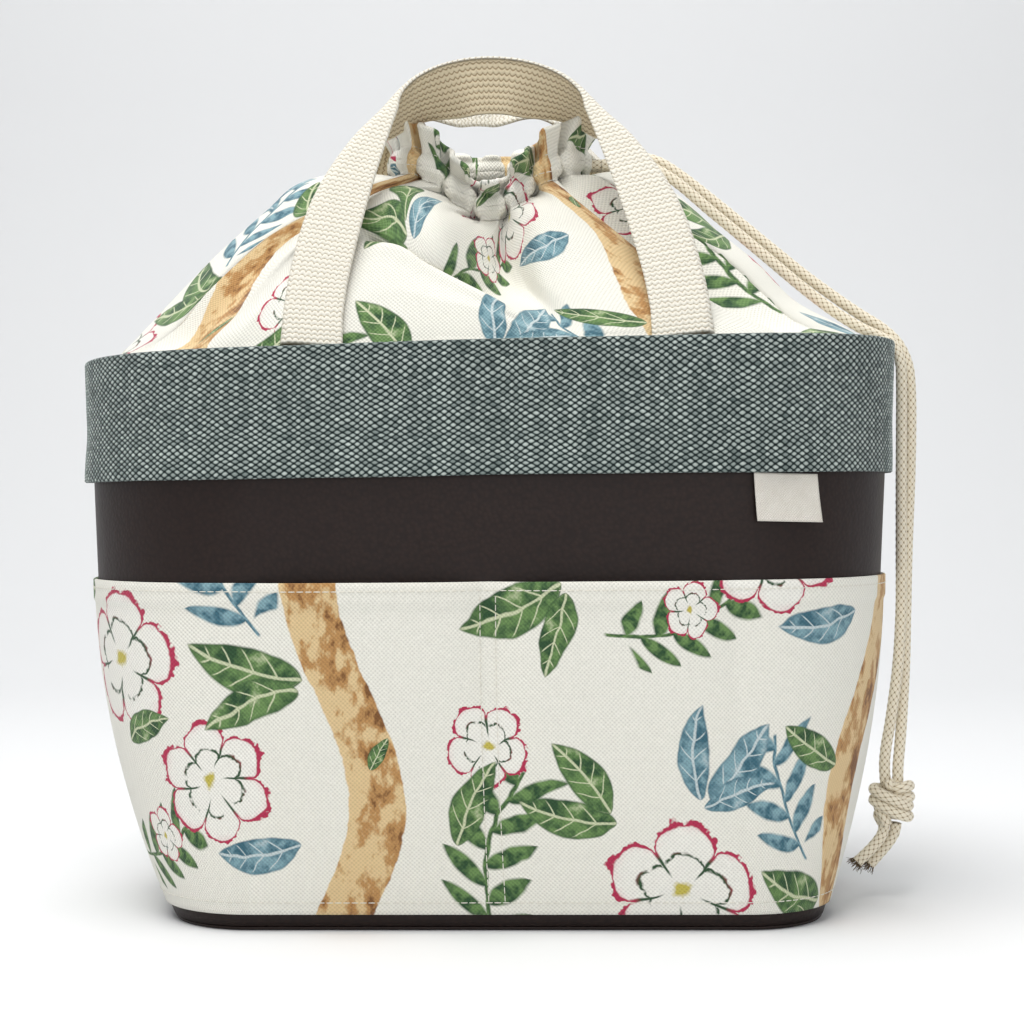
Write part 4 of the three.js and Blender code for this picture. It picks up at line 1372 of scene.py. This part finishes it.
NECK = (0.042, 0.020, 0.017)
NECK_HEIGHT = 0.334
NECK_DIP = 14 * MM
CASING = 7 * MM
CASING_ROOM = CORD / 2 + 3 * MM  # half the height that the cord lifts
HEADING = 17 * MM
HEM_DROP = 2 * MM
COLLAR_FOOT = tuple(value + COLLAR_OUTER - COLLAR_CANVAS / 2 for value in RIM)
COLLAR_SEWN = 22 * MM

# How the collar runs from the rim to the casing: shares of the way out and of the way up
COLLAR_FRONT = [(1, 0), (0.89, 0.19), (0.74, 0.40), (0.57, 0.62), (0.42, 0.84), (0.27, 0.99),
                (0.12, 1.03), (0, 1)]
COLLAR_LEFT = [(1, 0), (0.885, 0.19), (0.655, 0.55), (0.46, 0.80), (0.35, 0.94), (0.20, 1.01),
               (0.10, 1.02), (0, 1)]
COLLAR_RIGHT = [(1, 0), (0.93, 0.10), (0.75, 0.27), (0.63, 0.48), (0.48, 0.68), (0.30, 0.93),
                (0.12, 1.02), (0, 1)]

# Broad folds: turn at the rim, turn at the neck, half width in turns, height in millimetres, and
# the shares of the way up between which the fold stands out
COLLAR_FOLDS = [
    (0.34, 0.42, 0.060, 4, 0.10, 0.90),
    (0.55, 0.60, 0.075, 6, 0.08, 0.90),
    (0.78, 0.82, 0.075, 8, 0.15, 0.95),
    (1.02, 1.00, 0.080, 9, 0.10, 0.95),
    (1.24, 1.20, 0.070, 7, 0.12, 0.95),
    (1.46, 1.38, 0.080, 6, 0.08, 0.90),
    (1.70, 1.60, 0.065, 3, 0.10, 0.90),
]

# The front is folded over itself: a tent behind the left strap, a lobe that droops over it from
# the casing, a hollow, and a second flap on the right. For each turn, the places in millimetres
# that the cloth passes through at these shares of its way up.
FOLD_SHARES = [0.14, 0.30, 0.43, 0.56, 0.72, 0.88]
FRONT_FOLDS = [
    (2.34, [(-136, -62, 255), (-123, -54, 271), (-110, -46, 285), (-96, -40, 297), (-76, -34, 309),
            (-57, -27, 319)]),
    (2.42, [(-125, -68, 250), (-111, -56, 267), (-99, -48, 281), (-85, -42, 294), (-68, -36, 305),
            (-51, -28, 317)]),
    (2.48, [(-120, -82, 248), (-107, -75, 260), (-96, -69, 274), (-84, -64, 288), (-68, -52, 301),
            (-50, -32, 314)]),
    (2.60, [(-94, -86, 257), (-89, -77, 271), (-81, -68, 285), (-72, -60, 298), (-61, -55, 304),
            (-46, -39, 316)]),
    (2.70, [(-72, -83, 260), (-70, -73, 277), (-66, -65, 290), (-61, -58, 301), (-51, -55, 303),
            (-39, -43, 317)]),
    (2.80, [(-48, -82, 263), (-45, -71, 282), (-41, -65, 290), (-39, -54, 281), (-34, -66, 288),
            (-30, -54, 308)]),
    (2.90, [(-23, -86, 258), (-22, -76, 271), (-24, -69, 280), (-20, -56, 272), (-18, -67, 280),
            (-18, -56, 300)]),
    (3.00, [(0, -88, 253), (0, -82, 261), (1, -77, 266), (0, -52, 266), (-2, -44, 280),
            (-2, -36, 294)]),
    (3.07, [(16, -90, 249), (13, -84, 254), (11, -78, 260), (8, -46, 269), (5, -30, 283),
            (4, -24, 297)]),
    (3.14, [(32, -90, 246), (27, -80, 253), (23, -68, 261), (17, -50, 271), (11, -34, 284),
            (8, -26, 299)]),
    (3.24, [(54, -88, 249), (43, -80, 258), (33, -72, 265), (25, -62, 276), (22, -52, 291),
            (19, -40, 307)]),
    (3.36, [(84, -86, 252), (74, -79, 262), (62, -72, 271), (51, -64, 281), (40, -54, 296),
            (29, -42, 310)]),
    (3.48, [(118, -82, 248), (104, -76, 256), (90, -70, 265), (71, -62, 280), (53, -52, 297),
            (38, -40, 312)]),
    (3.55, [(118, -68, 246), (102, -58, 255), (88, -50, 265), (68, -44, 280), (49, -36, 297),
            (37, -30, 312)]),
    (3.65, [(135, -52, 253), (121, -42, 268), (107, -36, 283), (89, -32, 297), (67, -28, 312),
            (50, -24, 324)]),
]
COLLAR_COLUMNS, COLLAR_ROWS = 420, 83
COLLAR_PRINT_START = {"front": 0.05, "back": 0.41}
PLEATS = 19  # small gathers round the whole neck
PLEAT_DEPTH = 4.4 * MM
RUFFLE_DEPTH = 7.0 * MM
RUFFLE_FLARE = 7 * MM
NECK_SWAY = 3.2 * MM
CASING_DROOP = 8 * MM  # in the middle of the front


def gather_phase(turn):
    return turn * math.pi / 2 * PLEATS + 1.5 * ripple(turn * 2.2, 0.0, 31)


def gathers(turn):
    """The small pleats that the cord makes, of uneven width and depth, between -1 and 1."""
    phase = gather_phase(turn)
    depth = 0.75 + 0.3 * ripple(turn * 3.1, 0.0, 32)
    return depth * (np.sin(phase) + 0.35 * np.sin(2 * phase + 1.3))


def gather_slip(turn):
    """How far, in turns, the pleats' sides slip under their crests."""
    return -0.019 * np.sin(2 * gather_phase(turn))


def neck_middle(x):
    """1 in the middle of the neck's front and back, 0 at its sides."""
    return np.cos(math.pi / 2 * np.clip(x / NECK[0], -1, 1)) ** 2


def neck_dip(x, y):
    return np.where(y < 0, NECK_DIP * neck_middle(x), 0.0)


def hump(turn, middle, width):
    return np.exp(-(((turn - middle) / width) ** 2))


def side_weight(turn):
    """-1 at the left-hand seam, 1 at the right-hand seam and 0 in the middle of front and back."""
    x, _ = plan_point(NECK, 0.0, turn)
    return np.sign(x) * (np.abs(x) / NECK[0]) ** 2


def profile_at(points, share):
    """The shares of the way out and up at a share of the length of a collar's profile."""
    line = resample(catmull(points, 10), 0.004)
    run = lengths_along(line)
    return [np.interp(share, run / run[-1], column) for column in line.T]


def clear_of_handles(points):
    """The cloth rests against the two handles, and doesn't come through them."""
    moved = points.copy()
    x, y, z = points[..., 0], points[..., 1], points[..., 2]
    rise = np.maximum(0, z - FOLD_HEIGHT)
    near = 1 - smoothstep(0.098, 0.125, np.abs(x))
    front = -FOLD_DEPTH + rise * math.tan(math.radians(LEAN["front"])) + 3.0 * MM
    back = FOLD_DEPTH - rise * math.tan(math.radians(LEAN["back"] + BACK_GIVE)) - 2.6 * MM
    pressed = np.clip(y, front, back)
    moved[..., 1] = lerp(y, pressed, near * (rise > 0))
    return moved


def fold_height(turn, share):
    """How far the broad folds lift the collar, in metres."""
    height = np.zeros(np.broadcast(turn, share).shape)
    for start, end, width, rise, low, high in COLLAR_FOLDS:
        centre = lerp(start, end, share)
        away = np.abs(turn - centre)
        away = np.minimum(away, 4 - away) / (width * lerp(1.15, 0.9, share))
        bump = 1 - smoothstep(0.15, 1.25, away)
        starting = smoothstep(low - 0.1, low + 0.14, share)
        ending = 1 - smoothstep(high - 0.12, high + 0.08, share)
        height = height + rise * MM * bump * (starting * ending)
    return height


def folded_front(turns, shares, foot, head):
    """The folded front between the rim's seam and the casing, as a grid (turns, shares)."""
    keys = np.array([key for key, _ in FRONT_FOLDS])
    net = np.array([places for _, places in FRONT_FOLDS], float) * MM
    column = np.interp(turns, keys, np.arange(len(keys)))
    rows = spline(net, column)
    rows = np.concatenate([foot[:, None], rows, head[:, None]], axis=1)
    place = np.interp(shares, [0, *FOLD_SHARES, 1], np.arange(rows.shape[1]))
    return np.swapaxes(spline(np.swapaxes(rows, 0, 1), place), 0, 1)


def collar_body(turn, share):
    """The collar's middle surface between the rim's seam and the casing."""
    seam = np.minimum(turn, 4 - turn)
    side = side_weight(turn)
    weights = (1 - np.abs(side), np.maximum(-side, 0), np.maximum(side, 0))
    profiles = [profile_at(points, share) for points in (COLLAR_FRONT, COLLAR_LEFT, COLLAR_RIGHT)]
    out, up = (sum(w * profile[k] for w, profile in zip(weights, profiles)) for k in range(2))
    plan = [lerp(neck, foot, out) for neck, foot in zip(NECK, COLLAR_FOOT)]
    slipped = turn + gather_slip(turn) * smoothstep(0.5, 1.0, share) * smoothstep(0.02, 0.2, seam)
    flat = grid(*plan_point(plan, 0.0, slipped))
    away = grid(*plan_point(plan, 1.0, slipped)) - flat
    dip = neck_dip(*plan_point(NECK, 0.0, turn))
    z = lerp(RIM_HEIGHT - CLEARANCE, NECK_HEIGHT - CASING, up) - dip * (1 - out)
    calm = smoothstep(0.02, 0.20, seam)
    waves = 2.2 * MM * ripple(turn * 4.5, share * 3.4, 33) * smoothstep(0, 0.12, share)
    pleats = PLEAT_DEPTH * smoothstep(0.35, 0.95, share) * gathers(turn) * (0.35 + 0.65 * calm)
    folds = (fold_height(turn, share) + waves) * calm + pleats
    steep = math.radians(42) * (1 - smoothstep(0.75, 1.0, share) * 0.8)
    flat = flat + away * (folds * np.cos(steep))[..., None]
    body = grid(flat[..., 0], flat[..., 1], z + folds * np.sin(steep))
    if turn.min() < HALVES["front"]:
        return body
    front = folded_front(turn[:, 0], share[0], body[:, 0], body[:, -1])
    small = 1.0 * MM * ripple(turn * 11, share * 7, 38) * np.sin(math.pi * share)
    front = front + small[..., None] * np.array([0.3, -0.7, 0.6])
    weight = smoothstep(2.10, 2.32, turn) * (1 - smoothstep(3.67, 3.90, turn))
    return lerp(body, front, weight[..., None])


def neck_surface(turn, rise):
    """The middle between the two layers of the casing and the ruffle; rise is from the cord."""
    share = np.clip((rise - CASING) / (HEADING - CASING), 0, 1)
    seam = np.minimum(turn, 4 - turn)
    flat = 0.35 + 0.65 * smoothstep(0.02, 0.20, seam)
    free = smoothstep(0.25, 0.6, seam)
    front = hump(turn, 2.98, 0.30)
    depth = lerp(PLEAT_DEPTH, RUFFLE_DEPTH + 2.5 * MM * front, share)
    stretch = 1 - 0.55 * np.clip(1 - np.abs(rise) / CASING, 0, 1)
    offset = depth * gathers(turn) * lerp(flat * stretch, 1.0, share)
    flare = RUFFLE_FLARE * (0.8 + 0.6 * ripple(turn * 1.6, 0.0, 35)) + 7 * MM * front
    offset = offset + flare * share**1.4 + NECK_SWAY * free * ripple(turn * 3.1, 0.0, 39)
    offset = offset + 1.2 * MM * share * ripple(turn * 9, 0.0, 36)
    slipped = turn + gather_slip(turn) * smoothstep(0.02, 0.2, np.minimum(seam, np.abs(2 - turn)))
    x, y = plan_point(NECK, offset, slipped)
    neck_x, neck_y = plan_point(NECK, 0.0, turn)
    uneven = 3.2 * MM * share * ripple(turn * 4.5, 0.0, 37)
    uneven = uneven + NECK_SWAY * free * ripple(turn * 2.4, 0.0, 40)
    droop = np.where(neck_y > 0, 10 * MM * neck_middle(neck_x), 9 * MM * front) * share
    droop = droop + CASING_DROOP * hump(turn, 2.96, 0.26)
    height = NECK_HEIGHT + rise - neck_dip(neck_x, neck_y) + uneven - droop
    return grid(x, y, height)


def grid_normals(points):
    """Unit normals of a grid (turns, rows); they point out of the collar on its outer layer."""
    return unit(np.cross(np.gradient(points, axis=0), np.gradient(points, axis=1)))


def casing_swell(rise):
    """How far the cord in it lifts each layer of the casing."""
    return (CORD / 2 + 0.2 * MM) * smoothstep(0, 1, np.clip(1 - (rise / CASING_ROOM) ** 2, 0, 1))


def collar_layers(turns):
    """The collar's middle surface as one sheet: foot, body, casing, ruffle, and back inside."""
    turn = turns[:, None]
    sewn = np.linspace(RIM_HEIGHT - COLLAR_SEWN, RIM_HEIGHT - CLEARANCE, 10)[:-1]
    foot = grid(*plan_point(wall_plan(sewn), COLLAR_OUTER - COLLAR_CANVAS / 2, turn), sewn)
    share = np.linspace(0, 1, COLLAR_ROWS + 1)[:-1]
    body = collar_body(turn, share[None, :])
    rise = np.concatenate([
        np.linspace(-CASING, CASING, 23), np.linspace(CASING, HEADING, 14)[1:],
    ])
    middle = neck_surface(turn, rise)
    normal = grid_normals(middle)
    apart = COLLAR_CANVAS / 2 + CLEARANCE / 2
    swell = normal * (apart + casing_swell(rise))[None, :, None]
    outer, inner = middle + swell, middle - swell
    top = middle[:, -1:] + np.array([0, 0, apart * 0.9])
    drop = np.linspace(0, HEM_DROP, 4)[None, 1:, None]
    hem = inner[:, :1] - drop * np.array([0, 0, 1.0]) - normal[:, :1] * (drop * 0.8)
    join = smoothstep(0.86, 1.0, share)[None, :, None]
    body = body + (outer[:, :1] - body[:, -1:]) * join * join
    return np.concatenate([foot, body, outer, top, inner[:, ::-1], hem], axis=1)


def add_collar(materials):
    for side, start in HALVES.items():
        turns = start + np.linspace(0, 2, COLLAR_COLUMNS)
        middle = askew(clear_of_handles(collar_layers(turns)))
        middle[..., 1] = on_side(side, middle[..., 1])
        half = grid_normals(middle) * (COLLAR_CANVAS / 2)
        points = np.concatenate([middle + half, (middle - half)[:, ::-1]], axis=1)
        steps = np.linalg.norm(np.diff(middle, axis=1), axis=-1)
        run = np.concatenate([np.zeros((len(turns), 1)), np.cumsum(steps, axis=1)], axis=1)
        run = np.concatenate([run, run[:, ::-1], run[:, :1]], axis=1)
        along = lengths_along(middle[:, 9]) + COLLAR_PRINT_START[side]
        name = f"collar_{side}_cloth"
        mesh = grid_mesh(name, points, grid(along[:, None], run))
        nodes = [f"collar_{side}_panel"]
        made = add_piece(name, mesh, materials["collar"], nodes)


def add_collar_stitches(materials):
    for side, start in HALVES.items():
        turn = (start + np.linspace(0.02, 1.98, 700))[:, None]
        lines = []
        for rise in (-CASING + 0.8 * MM, -CASING + 4.2 * MM, CASING - 0.6 * MM):
            middle = neck_surface(turn, np.array([rise, rise + 0.5 * MM]))
            normal = grid_normals(middle)[:, 0]
            lifted = normal * (COLLAR_CANVAS + CLEARANCE / 2 + casing_swell(rise))
            lines.append((askew(middle[:, 0] + lifted), normal))
        add_stitches(f"collar_{side}_stitches", lines, materials)


# Stage: a pale floor that curves up into the backdrop, and three soft lights

FLOOR_COLOUR = (0.845, 0.85, 0.86)
FLOOR_REACH = 3.2  # to each side, and up at the back
FLOOR_GAP = 0.2 * MM  # the floor lies just below the basket
BEND_START, BEND, BEND_STEPS = 0.9, 0.7, 12


def add_stage():
    graph = Material("paper", 0.9, 0.2)
    bend = [math.pi / 2 * k / BEND_STEPS for k in range(BEND_STEPS + 1)]
    curve = [(BEND_START + BEND * math.sin(a), BEND - BEND * math.cos(a)) for a in bend]
    profile = [(-1.6, 0.0), *curve, (BEND_START + BEND, FLOOR_REACH)]
    count = len(profile)
    vertices = [(x, y, z - FLOOR_GAP) for x in (-FLOOR_REACH, FLOOR_REACH) for y, z in profile]
    faces = [(k, k + count, k + count + 1, k + 1) for k in range(count - 1)]
    mesh = bpy.data.meshes.new("floor")
    mesh.from_pydata(vertices, [], faces)
    smooth_faces(mesh)
    floor = add_piece("floor", mesh, graph.finish((*FLOOR_COLOUR, 1)), body=None)


def add_lamp(name, place, aim, size, power, colour):
    data = bpy.data.lights.new(name, "AREA")
    data.shape = "RECTANGLE"
    data.size, data.size_y = size
    data.energy = power
    data.color = colour
    lamp = bpy.data.objects.new(name, data)
    bpy.context.scene.collection.objects.link(lamp)
    lamp.location = place
    way = Vector(aim) - Vector(place)
    lamp.rotation_euler = way.to_track_quat("-Z", "Y").to_euler()
    return lamp


def add_lights():
    aim = (0.0, 0.0, 0.15)
    lamps = [
        add_lamp("key", (-0.3, -0.4, 1.8), aim, (1.3, 1.3), 31, (1.0, 0.99, 0.97)),
        add_lamp("front", (0.5, -2.3, 0.9), aim, (1.8, 1.4), 11.5, (1.0, 1.0, 1.0)),
        add_lamp("back", (0.3, 1.0, 2.0), aim, (1.6, 1.0), 8, (0.97, 0.99, 1.0)),
    ]


def add_world():
    """A room that lights the basket weakly, and looks pale from the camera and in reflections."""
    world = bpy.data.worlds.new("room")
    bpy.context.scene.world = world
    world.use_nodes = True
    world.node_tree.nodes.clear()
    graph = Graph(world.node_tree)
    ray = graph.node("LightPath", {}, "Is Camera Ray")
    shown = ray.most(ray.beside("Is Glossy Ray")).most(ray.beside("Is Transmission Ray"))
    lit = graph.node("Background", {"Color": (0.9, 0.92, 0.94, 1), "Strength": 0.34})
    seen = graph.node("Background", {"Color": (0.80, 0.81, 0.83, 1), "Strength": 1.0})
    output = world.node_tree.nodes.new("ShaderNodeOutputWorld")
    graph.put(output.inputs["Surface"], graph.node("MixShader", {0: shown, 1: lit, 2: seen}))


def dress_hidden_nodes(materials):
    """The CAD pieces that stay as they are get the same cloths."""
    for name in ("base_board", "base_lining"):
        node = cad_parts[name]
        node.data.materials.clear()
        node.data.materials.append(materials["board" if name == "base_board" else "lining"])


# The scene, with the camera and the cords first

add_camera()
printed = make_print()
materials = {
    "cord": cord_material(),
    "leather": leather_material(),
    "foam": plain_cloth_material("foam", (240, 238, 232), (214, 210, 200), 1.6 * MM),
    "lining": plain_cloth_material("lining_cloth", (222, 216, 200), (184, 176, 158), 0.7 * MM),
    "board": board_material(),
    "tweed": tweed_material(),
    "canvas": canvas_material(printed),
    "collar": canvas_material(printed, "collar_canvas", (0.07, 0.03)),
    "webbing": webbing_material(),
    "tape": plain_cloth_material("tag_ribbon", (240, 236, 228), (204, 196, 182), 0.6 * MM),
    "cream_thread": thread_material(),
}
add_drawcord(materials)
add_wall_layers(materials)
add_base(materials)
add_cuff(materials)
add_pockets(materials)
add_pocket_stitches(materials)
for side in HALVES:
    add_handle(side, materials)
add_tag(materials)
add_collar(materials)
add_collar_stitches(materials)
dress_hidden_nodes(materials)
add_stage()
add_lights()
add_world()

scene = bpy.context.scene
scene.view_settings.view_transform = "Standard"
scene.view_settings.look = "None"
